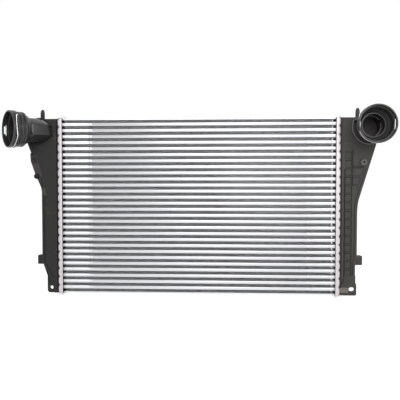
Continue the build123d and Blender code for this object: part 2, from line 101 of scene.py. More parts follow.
# ================================================================== settings
def length(name, text, default):
    """A length from its default in millimetres, as a property of the sidebar."""
    start = default * MM
    return FloatProperty(name=name, description=text, default=start, min=0.0, unit="LENGTH")


def colour(name, text, default):
    """A linear colour, as a property of the sidebar."""
    return FloatVectorProperty(
        name=name, description=text, default=default, size=3, min=0.0, max=1.0, subtype="COLOR"
    )


class CoreSettings(bpy.types.PropertyGroup):
    """Sizes of the tubes, fins and headers."""

    nose_round: length("Tube nose", "Corner radius of the flat tubes", 2.3)
    strap_dent: length("Strap mark", "How far the straps press into the tubes", 0.35)
    tube_wall: length("Tube wall", "Wall of the flat tubes", 0.5)
    fin_pitch: length("Fin pitch", "Distance from one fin crest to the next", 3.0)
    fin_crest: length("Fin crest", "Flat brazed on to the tube at each crest", 0.45)
    fin_gauge: length("Fin gauge", "Thickness of the fin strip", 0.12)
    fin_sway: length("Fin sway", "How far the fin waves sideways at half depth", 1.7)
    sheet_gauge: length("Header sheet", "Thickness of the header sheet", 1.5)
    sheet_round: length("Header corner", "Corner radius of the header", 3.0)
    crimp_pitch: length("Crimp pitch", "Distance between the notches of the crimp", 19.2)
    crimp_depth: length("Crimp depth", "Depth of the notches of the crimp", 2.6)


class TankSettings(bpy.types.PropertyGroup):
    """Sizes that both plastic tanks share."""

    rounding: length("Edge rounding", "Radius along the tank's free edges", 6.0)
    ladder_depth: length("Pocket depth", "Depth of the pockets between the ladder ribs", 3.6)
    pin_radius: length("Pin radius", "Radius of the locating pins", 5.0)
    pin_height: length("Pin height", "Height of the locating pins", 22.5)


class PortSettings(bpy.types.PropertyGroup):
    """Sizes that both quick-fit sockets share."""

    neck: length("Neck radius", "Outside radius of the neck", 27.0)
    bore: length("Bore radius", "Inside radius of the neck", 24.5)
    wire: length("Clip wire", "Radius of the spring clip's wire", 1.4)
    columns: IntProperty(
        name="Columns", description="Number of faces round a socket", default=112, min=24, max=256
    )


class FinishSettings(bpy.types.PropertyGroup):
    """Colours of the finishes."""

    aluminium: colour("Aluminium", "Brazed tubes", (0.60, 0.61, 0.625))
    sheet: colour("Header sheet", "Satin header sheet", (0.52, 0.492, 0.505))
    fin: colour("Fins", "Fin strip", (0.72, 0.72, 0.73))
    plastic: colour("Left plastic", "Black plastic of the left tank", (0.027, 0.0275, 0.0263))
    # Painted light: the right tank's plastic is tinted lighter than the left's, standing in for
    # more light on the right side.
    grey_plastic: colour("Right plastic", "Plastic of the right tank", (0.066, 0.0645, 0.062))
    dust: colour("Dust", "Brownish film on the plastic", (0.125, 0.105, 0.095))
    # Painted shade: a near-black colour for the header's face behind the fins, where only deep
    # shade falls.
    stain: colour("Braze stain", "Dark face of the header behind the fins", (0.012, 0.012, 0.013))
    rubber: colour("Rubber", "Black seal rubber", (0.008, 0.008, 0.008))
    wire: colour("Wire", "Spring wire", (0.60, 0.595, 0.59))
    boss: colour("Boss", "Rubbed face of the screw boss", (0.17, 0.168, 0.162))
    foot: colour("Foot ribs", "Scuffed brownish ribs on the right foot", (0.30, 0.265, 0.245))
    # Painted light: the right socket is tinted lighter than the left socket, for more light on the
    # right side.
    right_socket: colour("Right socket", "Plastic of the right socket", (0.052, 0.051, 0.049))
    # Painted light: the strip's tint is lighter than the tank's, so its pads look as if they catch
    # the light.
    strip: colour("Edge strip", "Strip on the left tank's edge, lightened as painted light", (0.068, 0.065, 0.062))
    # Painted highlight: a light tint that makes the bead round the right port catch the light.
    bead: colour("Bead", "Bead round the right port, lightened as a painted highlight", (0.24, 0.236, 0.228))
    insert: colour("Insert", "Dull plated insert", (0.15, 0.145, 0.135))


class StageSettings(bpy.types.PropertyGroup):
    """Strengths of the light."""

    key: FloatProperty(name="Key", description="Power of the main lamp", default=24.0, unit="POWER")
    fill: FloatProperty(
        name="Fill", description="Power of the side lamp", default=5.0, unit="POWER"
    )
    ambient: FloatProperty(
        name="Ambient", description="Strength of the white around", default=0.25, min=0.0, max=1.0
    )


SETTINGS = {
    "cooler_core": CoreSettings,
    "cooler_tank": TankSettings,
    "cooler_port": PortSettings,
    "cooler_finish": FinishSettings,
    "cooler_stage": StageSettings,
}


# ================================================================== surfaces
def mm(*values):
    """Millimetres as an array in metres."""
    return np.array(values, float) * MM


def xyz(x, y, z):
    """Points from their three coordinates, spread over one another."""
    return np.stack(np.broadcast_arrays(x, y, z), axis=-1)


def unit(vectors):
    """The vectors, each with a length of one."""
    return vectors / np.linalg.norm(vectors, axis=1, keepdims=True)


def circle(count):
    """Angles spread evenly over a full turn."""
    return np.linspace(0, TURN, count, endpoint=False)


def bearing(angle):
    """Steps of length one at the angles."""
    return np.stack([np.cos(angle), np.sin(angle)], axis=-1)


def grid(rows, columns, wrap=False):
    """Faces of a stack of rings numbered one by one: each cell joins its four neighbours. With
    wrap, the last ring joins the first."""
    i, j = np.meshgrid(np.arange(rows - (not wrap)), np.arange(columns), indexing="ij")
    down, along = (i + 1) % rows, (j + 1) % columns
    cells = [i * columns + j, i * columns + along, down * columns + along, down * columns + j]
    return np.stack(cells, axis=-1).reshape(-1, 4)


def weld(points, faces):
    """Points that share a place become one, so seams and poles close; -1 marks a triangle."""
    _, first, place = np.unique(
        np.round(points / WELD).astype(np.int64), axis=0, return_index=True, return_inverse=True
    )
    faces = place.reshape(-1)[faces]
    same = faces == np.roll(faces, -1, axis=1)
    good = (same.sum(axis=1) <= 1) & (faces[:, 0] != faces[:, 2]) & (faces[:, 1] != faces[:, 3])
    faces, same = faces[good], same[good]
    short = same.any(axis=1)
    lead = np.where(short, same.argmax(axis=1) + 1, 0)
    order = (lead[:, None] + np.arange(4)) % 4
    faces = np.take_along_axis(faces, order, axis=1)
    faces[short, 3] = -1
    return points[first], faces


def outward(points, faces):
    """Turns a closed shell right side out: its volume, summed face by face, must be positive."""
    a, b, c = points[faces[:, 0]], points[faces[:, 1]], points[faces[:, 2]]
    d = np.where(faces[:, 3:] < 0, a, points[faces[:, 3]])
    volume = (np.cross(a, b) * c).sum() + (np.cross(a, c) * d).sum()
    if volume >= 0:
        return faces
    turned = faces[:, ::-1].copy()
    three = turned[:, 0] < 0
    turned[three] = np.roll(turned[three], -1, axis=1)
    return turned


def shell(points, faces):
    """One closed shell from grid points and faces: welded, and facing outwards."""
    points, faces = weld(np.asarray(points, float).reshape(-1, 3), faces)
    return points, outward(points, faces)


def ringed(points, wrap=False):
    """One closed shell from a stack of rings."""
    return shell(points, grid(*points.shape[:2], wrap))


def piece(name, shells, finish, stands_for, sharp=38.0):
    """Puts closed shells into one mesh object that rides on the part and stands for its nodes."""
    points = np.concatenate([spots for spots, _ in shells])
    starts = np.cumsum([0] + [len(spots) for spots, _ in shells[:-1]])
    faces = [np.where(cells < 0, -1, cells + start) for (_, cells), start in zip(shells, starts)]
    faces = np.concatenate(faces)
    corners = np.where(faces[:, 3] < 0, 3, 4)
    loops = faces.reshape(-1)[faces.reshape(-1) >= 0]
    mesh = bpy.data.meshes.new(name)
    mesh.vertices.add(len(points))
    mesh.vertices.foreach_set("co", points.astype(np.float32).reshape(-1))
    mesh.loops.add(len(loops))
    mesh.loops.foreach_set("vertex_index", loops.astype(np.int32))
    mesh.polygons.add(len(faces))
    mesh.polygons.foreach_set("loop_start", (np.cumsum(corners) - corners).astype(np.int32))
    mesh.polygons.foreach_set("use_smooth", np.ones(len(faces), bool))
    mesh.update(calc_edges=True)
    mesh.set_sharp_from_angle(angle=np.radians(sharp))
    if mesh.validate(verbose=False):
        raise RuntimeError(f"{name}: the mesh had bad faces")
    mesh.materials.append(finish_of(finish))
    made = bpy.data.objects.new(name, mesh)
    bpy.context.scene.collection.objects.link(made)
    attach(made, "root")
    if stands_for:
        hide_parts(*stands_for)
    return made


def curve(start, corner, end, count):
    """Points of a quadratic curve from start to end, drawn towards a corner."""
    t = np.linspace(0, 1, count)[:, None]
    return (1 - t) ** 2 * start + 2 * t * (1 - t) * corner + t**2 * end


def soften(profile, radius, steps=4, closed=True):
    """Rounds each corner of a flat profile: a curve from a point before it to one after it."""
    spots = np.asarray(profile, float)
    reach = np.broadcast_to(np.asarray(radius, float), len(spots)).copy()
    if not closed:
        reach[[0, -1]] = 0.0
    before, after = np.roll(spots, 1, axis=0) - spots, np.roll(spots, -1, axis=0) - spots
    ends = []
    for way in (before, after):
        span = np.maximum(np.linalg.norm(way, axis=1), TINY)
        ends.append(spots + way * (np.minimum(reach, span * SIDE_SHARE) / span)[:, None])
    corners = curve(ends[0][:, None], spots[:, None], ends[1][:, None], steps)
    return corners.reshape(-1, spots.shape[1])


def rounded(rows, steps=4, closed=True):
    """A softened profile in metres, from rows of two coordinates and a rounding in millimetres."""
    rows = np.array(rows, float) * MM
    return soften(rows[:, :2], rows[:, 2], steps, closed)


def step(value, low, high):
    """Rises smoothly from 0 at low to 1 at high."""
    t = np.clip((value - low) / (high - low), 0, 1)
    return t * t * (3 - 2 * t)


def plateau(value, low, high, soft):
    """1 between low and high and 0 outside, with smooth edges half inside and half outside."""
    rise = step(value, low - soft / 2, low + soft / 2)
    return rise * (1 - step(value, high - soft / 2, high + soft / 2))


def turn(profile, centres, headings, up, angles):
    """Carries rings along a line: ring k has profile[k], one radius or one for each angle, about
    centres[k]. A point is centre + radius * (cos(angle) * up + sin(angle) * heading x up)."""
    up = np.asarray(up, float)
    radius = np.reshape(profile, (len(centres), -1, 1))
    across = np.cross(headings, up)
    ring = np.cos(angles)[None, :, None] * up + np.sin(angles)[None, :, None] * across[:, None]
    return centres[:, None] + radius * ring


def lathe(profile, origin, heading, up, count, closed=True):
    """A closed shell turned about an axis from a profile of (way along the axis, radius)."""
    heading = np.asarray(heading, float)
    centres = np.asarray(origin, float) + profile[:, :1] * heading
    headings = np.broadcast_to(heading, centres.shape)
    return ringed(turn(profile[:, 1], centres, headings, up, circle(count)), closed)


def spun(spot, rows, count, steps=4):
    """A closed shell turned about a line along Y, from rows of (Y, radius, rounding)."""
    return lathe(rounded(rows, steps), (spot[0], 0, spot[1]), (0, 1, 0), (0, 0, 1), count)


def slab(outline, front, back, bevel, hole=None):
    """A plate cut to an outline in X and Z, from front to back in Y, with rounded rims. Rings run
    from its middle over the rim and back to the middle, or from a hole round to the same hole.
    A hole has a middle, a radius and, for a slot, half its straight run along X."""
    outline = np.asarray(outline, float)
    t = np.linspace(0, np.pi / 2, 4)
    inset, depth = bevel * (1 - np.sin(t)), bevel * (1 - np.cos(t))
    edge = np.roll(outline, -1, axis=0) - np.roll(outline, 1, axis=0)
    edge /= np.maximum(np.linalg.norm(edge, axis=1, keepdims=True), TINY)
    normal = np.stack([edge[:, 1], -edge[:, 0]], axis=1)
    normal *= np.sign((normal * (outline - outline.mean(axis=0))).sum())
    rings = [outline - normal * i for i in inset]
    levels = np.concatenate([[front], front + depth, back - depth[::-1], [back]])
    if hole is None:
        core = np.broadcast_to(outline.mean(axis=0), outline.shape)
    else:
        middle, radius, *run = hole
        angle = np.arctan2(outline[:, 1] - middle[1], outline[:, 0] - middle[0])
        core = middle + radius * bearing(angle)
        if run:
            core[:, 0] += run[0] * np.sign(np.cos(angle)) * np.minimum(1, 3 * abs(np.cos(angle)))
    rings = np.array([core, *rings, *rings[::-1], core])
    return ringed(xyz(rings[..., 0], levels[:, None], rings[..., 1]), hole is not None)


def along(outline, spacing):
    """The closed outline, with points added so that none are further apart than the spacing."""
    outline = np.asarray(outline, float)
    ends = np.vstack([outline, outline[:1]])
    spans = np.linalg.norm(np.diff(ends, axis=0), axis=1)
    way = np.concatenate([[0], np.cumsum(spans)])
    stops = np.unique(np.round(np.concatenate([way[:-1], np.arange(0, way[-1], spacing)]), 7))
    stops = stops[stops < way[-1] - 1e-7]
    return np.stack([np.interp(stops, way, ends[:, 0]), np.interp(stops, way, ends[:, 1])], axis=1)


def section_ring(half_y, half_z, radius, steps):
    """A rounded rectangle in Y and Z about its middle, as an even ring of points."""
    corners = [(-half_y, -half_z), (half_y, -half_z), (half_y, half_z), (-half_y, half_z)]
    return soften(corners, radius, steps)


def stacked(x, halves, grow, rounding, steps, mid_z=0.0, wrap=False):
    """Rounded rectangles at stops along X, each larger than the halves by its grow. The last joins
    the first again, or a point closes each end."""
    rounding = np.broadcast_to(rounding, len(grow))
    rings = [section_ring(halves[0] + g, halves[1] + g, r, steps) for g, r in zip(grow, rounding)]
    rings = np.stack(rings)
    if not wrap:
        rings = np.concatenate([rings[:1] * 0, rings, rings[:1] * 0])
        x = np.concatenate([x[:1], x, x[-1:]])
    return ringed(xyz(x[:, None], rings[..., 0], rings[..., 1] + mid_z), wrap)


def capped(points):
    """A closed shell from sections that run out along one side and back along the other: faces
    from side to side close the first section and the last."""
    rows, count = points.shape[:2]
    i = np.arange(count // 2 - 1)
    cap = np.stack([i, i + 1, count - 2 - i, count - 1 - i], axis=1)
    faces = [grid(rows, count), cap[:, ::-1], cap + (rows - 1) * count]
    return shell(points, np.concatenate(faces))


# ================================================================== finishes
def add(tree, kind, inputs, **options):
    """A new shader node. An input given as a socket is linked, any other is a plain value."""
    node = tree.nodes.new(kind)
    for name, value in options.items():
        setattr(node, name, value)
    fill(tree, node, inputs)
    return node.outputs


def fill(tree, node, inputs):
    """Links or sets the inputs of a node."""
    for name, value in inputs.items():
        if isinstance(value, bpy.types.NodeSocket):
            tree.links.new(value, node.inputs[name])
        else:
            node.inputs[name].default_value = value


def new_group(name, numbers, result):
    """A node group with a vector and numbers for inputs and one result: the group, what it is
    given, and the node that takes its result."""
    group = bpy.data.node_groups.new(name, "ShaderNodeTree")
    sockets = group.interface
    sockets.new_socket(name="Vector", in_out="INPUT", socket_type="NodeSocketVector")
    for label, default in numbers.items():
        number = sockets.new_socket(name=label, in_out="INPUT", socket_type="NodeSocketFloat")
        number.default_value = default
    sockets.new_socket(name=result, in_out="OUTPUT", socket_type="NodeSocketFloat")
    return group, group.nodes.new("NodeGroupInput").outputs, group.nodes.new("NodeGroupOutput")


def noise(tree, vector, scale, **values):
    """The height of a noise texture."""
    return add(tree, "ShaderNodeTexNoise", {"Vector": vector, "Scale": scale, **values})["Fac"]


def worked(tree, operation, first, second):
    """The result of a sum on two numbers."""
    return add(tree, "ShaderNodeMath", {0: first, 1: second}, operation=operation)["Value"]


def cast_grain_group():
    """Fine moulded or cast grain: a height."""
    group, given, sink = new_group("Cast grain", {"Scale": 900.0}, "Height")
    height = noise(group, given["Vector"], given["Scale"], Detail=3.0, Roughness=0.6)
    fill(group, sink, {"Height": height})
    return group


def handling_group():
    """Wide soft blotches from handling, oil and dust: one mask from 0 to 1."""
    group, given, sink = new_group("Handling marks", {"Scale": 12.0, "Coverage": 0.5}, "Mask")
    wide = noise(group, given["Vector"], given["Scale"], Detail=5.0, Roughness=0.55, Distortion=0.6)
    start = worked(group, "SUBTRACT", 1.05, given["Coverage"])
    end = worked(group, "ADD", start, 0.25)
    ends = {"Value": wide, "From Min": start, "From Max": end}
    mask = add(group, "ShaderNodeMapRange", ends, interpolation_type="SMOOTHSTEP")["Result"]
    fill(group, sink, {"Mask": mask})
    return group


def drawn_lines_group():
    """Fine lines that rolling and drawing leave along X: a height."""
    group, given, sink = new_group("Drawn lines", {"Scale": 700.0}, "Height")
    pulled = {"Vector": given["Vector"], "Scale": (0.02, 1.0, 1.0)}
    vector = add(group, "ShaderNodeMapping", pulled)["Vector"]
    fill(group, sink, {"Height": noise(group, vector, given["Scale"], Detail=2.0)})
    return group


def pattern(tree, group, place, **values):
    """The result of a node group set into a material, with its own values."""
    return add(tree, "ShaderNodeGroup", {"Vector": place, **values}, node_tree=group)[0]


def mixed(tree, mask, first, second):
    """A colour that goes from the first to the second with a mask."""
    ends = {"Factor": mask, "A": (*first, 1.0), "B": (*second, 1.0)}
    return add(tree, "ShaderNodeMix", ends, data_type="RGBA")["Result"]


def ranged(tree, mask, low, high):
    """A value that goes from low to high with a mask."""
    return add(tree, "ShaderNodeMapRange", {"Value": mask, "To Min": low, "To Max": high})["Result"]


def bumped(tree, height, strength, distance, **normal):
    """A normal bent by a height."""
    inputs = {"Height": height, "Strength": strength, "Distance": distance, **normal}
    return add(tree, "ShaderNodeBump", inputs)["Normal"]


def new_finish(name):
    """A material with its node tree, its shader and the coordinates that its patterns read."""
    finish = bpy.data.materials.new(name)
    finish.use_nodes = True
    tree = finish.node_tree
    place = add(tree, "ShaderNodeTexCoord", {})["Object"]
    return finish, tree, tree.nodes["Principled BSDF"], place


def metal_finish(groups, name, tint, rough, lines, blotch, coverage):
    """Aluminium or steel: satin grain, drawn lines and dull patches of flux or handling."""
    finish, tree, surface, place = new_finish(name)
    marks = pattern(tree, groups["marks"], place, Scale=16.0, Coverage=coverage)
    normal = bumped(tree, pattern(tree, groups["grain"], place, Scale=1400.0), 0.25, 0.0001)
    if lines:
        drawn = pattern(tree, groups["lines"], place, Scale=900.0)
        normal = bumped(tree, drawn, lines, 0.0002, Normal=normal)
    dull = [min(1.0, channel * blotch) for channel in tint]
    inputs = {"Base Color": mixed(tree, marks, tint, dull), "Metallic": 1.0, "Normal": normal}
    inputs["Roughness"] = ranged(tree, marks, rough, rough + 0.14)
    fill(tree, surface, inputs)
    return finish


def plastic_finish(groups, name, tint, dust, rough, scale, height, shine=0.1, patches=14.0):
    """Glass-filled black plastic: fine moulded grain, dusty patches and a low satin shine."""
    finish, tree, surface, place = new_finish(name)
    grain = pattern(tree, groups["grain"], place, Scale=scale)
    marks = pattern(tree, groups["marks"], place, Scale=patches, Coverage=0.5)
    flow = pattern(tree, groups["marks"], place, Scale=45.0, Coverage=0.5)
    dusty = [0.7 * channel + 0.3 * film for channel, film in zip(tint, dust)]
    inputs = {"Base Color": mixed(tree, marks, tint, dusty), "Specular IOR Level": shine}
    inputs["Roughness"] = ranged(tree, flow, rough, rough + 0.1)
    inputs["Normal"] = bumped(tree, grain, 0.4, height)
    fill(tree, surface, inputs)
    return finish


# Each metal: its name, tint, roughness, drawn lines, dullness of its patches and their coverage.
METALS = {
    "tube": ("Brazed aluminium", "aluminium", 0.40, 0.25, 0.9, 0.45),
    "fin": ("Fin strip", "fin", 0.5, 0.0, 0.92, 0.45),
    "sheet": ("Satin header sheet", "sheet", 0.46, 0.0, 0.90, 0.45),
    "plate": ("Side plate sheet", "aluminium", 0.42, 0.0, 0.85, 0.45),
    "wire": ("Spring wire", "wire", 0.32, 0.0, 0.9, 0.3),
    "insert": ("Dull plated insert", "insert", 0.45, 0.0, 0.9, 0.45),
}
# Each plastic: its name, tint, film, roughness, the grain's scale and height, shine and patches.
PLASTICS = {
    # The first finish is painted shade: the header's face behind the fins made near black.
    "stain": ("Braze stained sheet", "stain", "stain", 0.7, 900.0, 0.0001),
    "left": ("Left tank plastic", "plastic", "dust", 0.42, 1500.0, 0.00022, 0.22),
    # The edge strip's lighter tint is painted light on its pads.
    "strip": ("Rubbed edge strip", "strip", "dust", 0.5, 1500.0, 0.0002, 0.2, 70.0),
    # The bead's light tint is a painted highlight.
    "bead": ("Rubbed bead", "bead", "dust", 0.5, 1500.0, 0.0002),
    "boss": ("Rubbed boss", "boss", "dust", 0.5, 1500.0, 0.0002),
    "foot": ("Scuffed foot ribs", "foot", "dust", 0.6, 1500.0, 0.0002),
    # The right tank's lighter tint is painted light from the right side.
    "right": ("Right tank plastic", "grey_plastic", "dust", 0.44, 1500.0, 0.00022, 0.24),
    "left_socket": ("Left socket plastic", "plastic", "dust", 0.30, 1900.0, 0.00012, 0.5),
    # The right socket's lighter tint is painted light from the right side.
    "right_socket": ("Right socket plastic", "right_socket", "dust", 0.32, 1900.0, 0.00012, 0.5),
    "rubber": ("Seal rubber", "rubber", "rubber", 0.62, 1100.0, 0.0001),
}
FINISHES = {}


def finish_of(name):
    """A finish by its short name; all of them are made at the first call."""
    if not FINISHES:
        tints = bpy.context.scene.cooler_finish
        groups = {"grain": cast_grain_group(), "marks": handling_group()}
        groups["lines"] = drawn_lines_group()
        for key, (label, tint, *rest) in METALS.items():
            FINISHES[key] = metal_finish(groups, label, getattr(tints, tint), *rest)
        for key, (label, tint, film, *rest) in PLASTICS.items():
            tones = getattr(tints, tint), getattr(tints, film)
            FINISHES[key] = plastic_finish(groups, label, *tones, *rest)
    return FINISHES[name]


# ================================================================== core pieces
def halves_of(box):
    """Half the depth and half the height of a box."""
    low, high = box
    return (high.y - low.y) / 2, (high.z - low.z) / 2


class COOLER_OT_tubes(bpy.types.Operator):
    """Build the flat tubes with their rounded noses"""

    bl_idname = "cooler.tubes"
    bl_label = "Flat tubes"

    def execute(self, context):
        sizes = context.scene.cooler_core
        low, high = TUBE_BOXES[0]
        dent = np.tile([0.0, sizes.strap_dent, sizes.strap_dent, 0.0], len(STRAPS))
        marks = STRAPS[:, [0, 0, 1, 1]] + np.array([-STRAP_EASE, 0, 0, STRAP_EASE])
        x = np.concatenate([[low.x], marks.reshape(-1), [high.x, high.x, low.x]])
        inset = np.concatenate([[0.0], dent, [0.0, sizes.tube_wall, sizes.tube_wall]])
        noses = sizes.nose_round - inset
        halves = halves_of(TUBE_BOXES[0])
        shells = [stacked(x, halves, -inset, noses, 6, mid, wrap=True) for mid in TUBE_MIDS]
        piece("flat_tubes", shells, "tube", TUBE_NODES)
        return {"FINISHED"}


def fin_rows():
    """The middle heights of the fin rows: one above each tube, and one below the last."""
    pitch = TUBE_MIDS[0] - TUBE_MIDS[1]
    return np.append(TUBE_MIDS + pitch / 2, TUBE_MIDS[-1] - pitch / 2)


def fin_strip(mid, sizes, tube_gap):
    """A folded strip: its line goes up a leg, along a crest, down a leg and along a trough.
    At half depth it sways sideways, so the air channels are bent. Six points ring each stop."""
    low, high = FIN_BOX
    span = high.x - low.x - 2 * sizes.fin_sway
    folds = int(span / sizes.fin_pitch)
    pitch, crest = span / folds, sizes.fin_crest
    stops = (np.arange(folds) * pitch)[:, None] + np.array([0, crest, pitch / 2, pitch / 2 + crest])
    half = tube_gap / 2 - sizes.fin_gauge / 2
    x = np.append(stops.reshape(-1), folds * pitch) + low.x
    z = np.append(np.tile([-half, -half, half, half], folds), -half)
    run = unit(np.stack([np.gradient(x), np.gradient(z)], axis=1))
    aside = np.stack([-run[:, 1], run[:, 0]], axis=1) * sizes.fin_gauge / 2
    depth = np.array([low.y, 0.0, high.y, high.y, 0.0, low.y])
    sway = np.array([0.0, sizes.fin_sway, 0.0, 0.0, sizes.fin_sway, 0.0])
    face = np.array([1.0, 1.0, 1.0, -1.0, -1.0, -1.0])
    px = x[:, None] + sway + aside[:, :1] * face
    pz = z[:, None] + aside[:, 1:] * face + mid
    return capped(xyz(px, depth, pz))


class COOLER_OT_fins(bpy.types.Operator):
    """Build the folded fin strips between the tubes"""

    bl_idname = "cooler.fins"
    bl_label = "Air fins"

    def execute(self, context):
        sizes = context.scene.cooler_core
        gap = (TUBE_MIDS[0] - TUBE_MIDS[1]) - (TUBE_BOXES[0][1].z - TUBE_BOXES[0][0].z)
        rows = fin_rows()
        half = len(rows) // 2
        for name, mids in (("upper_fins", rows[:half]), ("lower_fins", rows[half:])):
            strips = [fin_strip(mid, sizes, gap) for mid in mids]
            piece(name, strips, "fin", ["air_fins"], sharp=25.0)
        return {"FINISHED"}


def header_lip(side, sizes):
    """The header's wall and crimped lip: a bent strip carried round a rounded rectangle.
    Its free end dips at each notch by a power of a cosine of the height."""
    low, high = HEADER_BOX
    gauge, lip, width = sizes.sheet_gauge, 3.8 * MM, high.x - low.x - 0.8 * MM
    half_y, half_z = halves_of(HEADER_BOX)
    ring = along(section_ring(half_y, half_z, sizes.sheet_round, 6), 1.0 * MM)
    wall = width - gauge
    strip = [(0, 0.2 * MM), (width, 0), (width, lip), (wall, lip), (wall, gauge), (0, gauge)]
    strip = soften(strip, [0.8 * MM, gauge + 0.4 * MM, 0.5 * MM, 0.5 * MM, 0.6 * MM, 0.1 * MM])
    way, inset = strip[:, :1], strip[:, 1:]
    share_y, share_z = (half_y - inset) / half_y, (half_z - inset) / half_z
    y, z = ring[:, 0] * share_y, ring[:, 1] * share_z
    notch = np.cos(np.pi * ((z / sizes.crimp_pitch) % 1.0 - 0.5)) ** 8
    long_side = step(abs(y) / abs(half_y * share_y), 0.97, 0.99)
    x = way - sizes.crimp_depth * notch * long_side * step(way / width, 0.55, 0.95)
    return ringed(xyz(side * (low.x + x), y, z + (high.z + low.z) / 2), wrap=True)


def tube_collar(side, mid, sizes):
    """The raised collar that the header sheet makes round a tube, on the fins' side."""
    x = side * (HEADER_BOX[0].x + mm(0.6, -0.4, -0.8, -0.8, 0.6))
    grow = mm(0.9, 0.8, 0.5, 0.03, 0.03)
    return stacked(x, halves_of(TUBE_BOXES[0]), grow, sizes.nose_round + grow, 5, mid, wrap=True)


def header_sheet(side, sizes):
    """The flat sheet that the tubes pass through, with eased edges. Its near-black finish is
    painted shade behind the fins.
    """
    low, high = HEADER_BOX
    x = side * (low.x + mm(1.4, 0.5, 0.0, 0.0))
    halves = np.array(halves_of(HEADER_BOX)) - 0.3 * MM
    grow = mm(0.0, 0.0, -0.6, -3.0)
    return stacked(x, halves, grow, sizes.sheet_round, 6, (high.z + low.z) / 2)


class COOLER_OT_headers(bpy.types.Operator):
    """Build the pressed headers with their crimped lips and tube collars"""

    bl_idname = "cooler.headers"
    bl_label = "Headers"

    def execute(self, context):
        sizes = context.scene.cooler_core
        for side, name in ((-1, "left_header"), (1, "right_header")):
            collars = [tube_collar(side, mid, sizes) for mid in TUBE_MIDS]
            for part, finish, shells in (
                ("pressing", "sheet", [header_lip(side, sizes), *collars]),
                # The flat sheet gets the near-black finish of painted shade.
                ("sheet", "stain", [header_sheet(side, sizes)]),
            ):
                piece(f"{name}_{part}", shells, finish, [name])
        return {"FINISHED"}


# ================================================================== tanks
LEFT_OUTLINE = np.vstack(
    [
        [(78.5, 0.0), (77.8, -10.0), (75.0, -50.0)],
        curve((44.8, -130.0), (39.5, -143.0), (39.5, -160.0), 7),
        [(39.5, -334.5), (11.0, -382.5), (11.0, -405.0)],
    ]
) * MM
RIGHT_OUTLINE = np.vstack(
    [
        [(75.0, 0.0), (84.0, -38.0), (79.7, -62.0)],
        curve((41.7, -187.0), (38.5, -202.0), (38.5, -222.0), 7),
        [(38.5, -317.0), (35.0, -337.0), (35.0, -371.0), (11.0, -381.5), (11.0, -405.0)],
    ]
) * MM
RIM_STOPS = mm(3.2, 2.9, 2.6, 2.2, 1.6, 1.2, 0.9, 0.5)
HEADER_GAP = np.array([-1.8, 2.0])
RIM_GROOVE = np.array([1.0, 2.6])
FOOT_ROUND = 2.0 * MM
WELL_DEPTH = 12.0 * MM
STEEPEST_EDGE = 1.6
EVEN_ROWS, LAND_COLUMNS = 110, 26
PORT_ROWS = mm(-56.0, -2.0, 1.8)
EDGE_DEPTHS = np.array([0.62, 0.8, 1.0]) * TANK_HALF


def around(edges, soft):
    """Stops on both sides of each edge, so that a soft wall gets enough faces."""
    spread = soft * np.array([-0.55, -0.25, 0.0, 0.25, 0.55])
    return (np.asarray(edges)[:, None] + spread).reshape(-1)


def band(value, low, high, soft):
    """A plateau with its ends and softness in millimetres."""
    return plateau(value, low * MM, high * MM, soft * MM)


def tank_rows(rounding, edges, soft):
    """Heights for a tank's surface: even steps, finer ones beside the port, the quarter rounds at
    its top and foot, and stops at each pocket's edges."""
    stops = [
        np.linspace(TANK_BOTTOM, TANK_TOP - rounding, EVEN_ROWS),
        np.arange(*PORT_ROWS),
        TANK_TOP - rounding * (1 - np.sin(ROUND_STOPS)),
        TANK_BOTTOM + FOOT_ROUND * (1 - np.cos(ROUND_STOPS[::2])),
        around(edges, soft),
    ]
    rows = np.concatenate(stops)
    return np.unique(np.round(rows[(rows >= TANK_BOTTOM) & (rows <= TANK_TOP)], 6))


def tank_body(side, outline, z, columns, rounding, dents, well):
    """A moulded tank as one surface: each height has a section that runs out along the front,
    round the edge, and back. The section's reach follows the outline, its edge is a quarter
    round, and the depth at each spot is a smooth sum of the dents."""
    columns = np.unique(np.concatenate(columns)) * MM
    reach = np.interp(z, outline[::-1, 1], outline[::-1, 0])
    slope = np.clip(np.gradient(reach, z), -STEEPEST_EDGE, STEEPEST_EDGE)
    edge_round = np.minimum(rounding * np.sqrt(1 + slope**2), reach * 0.6)
    flat = (reach - edge_round)[:, None]
    rim_start = flat - RIM_STOPS[0]
    squeeze = np.minimum(1.0, (rim_start - 0.5 * MM) / (columns[-1] + 0.5 * MM))
    near = np.where(columns < 0, columns, columns * squeeze)
    land = near[:, -1:] + (rim_start - near[:, -1:]) * np.linspace(0, 1, LAND_COLUMNS + 1)[1:]
    rim = flat - np.append(RIM_STOPS[1:], 0.0)
    angle = ROUND_STOPS[1:]
    edge = flat + edge_round[:, None] * np.sin(angle)
    out = np.concatenate([near, land, rim, edge, np.repeat(reach[:, None], 3, axis=1)], axis=1)
    depth = np.zeros_like(out)
    depth[:, -3 - len(angle) : -3] = rounding * (1 - np.cos(angle))
    depth[:, -3:] = EDGE_DEPTHS
    top = np.clip(rounding - (TANK_TOP - z), 0, rounding)
    foot = np.clip(FOOT_ROUND - (z - TANK_BOTTOM), 0, FOOT_ROUND)
    ends = rounding - np.sqrt(rounding**2 - top**2) + FOOT_ROUND - np.sqrt(FOOT_ROUND**2 - foot**2)
    depth = np.maximum(depth, ends[:, None])
    height = np.broadcast_to(z[:, None], out.shape)
    depth = np.maximum(depth, depth * 0.5 + dents(out, flat - out, height))
    front = depth - TANK_HALF
    front = np.where(well(CRIMP_X + out, height), np.maximum(front, WELL_DEPTH), front)
    back = np.maximum(TANK_HALF - depth, front + 0.2 * MM)
    sides = [xyz(side * (CRIMP_X + out), y, height) for y in (front, back)]
    return capped(np.concatenate([sides[0], sides[1][:, ::-1]], axis=1))


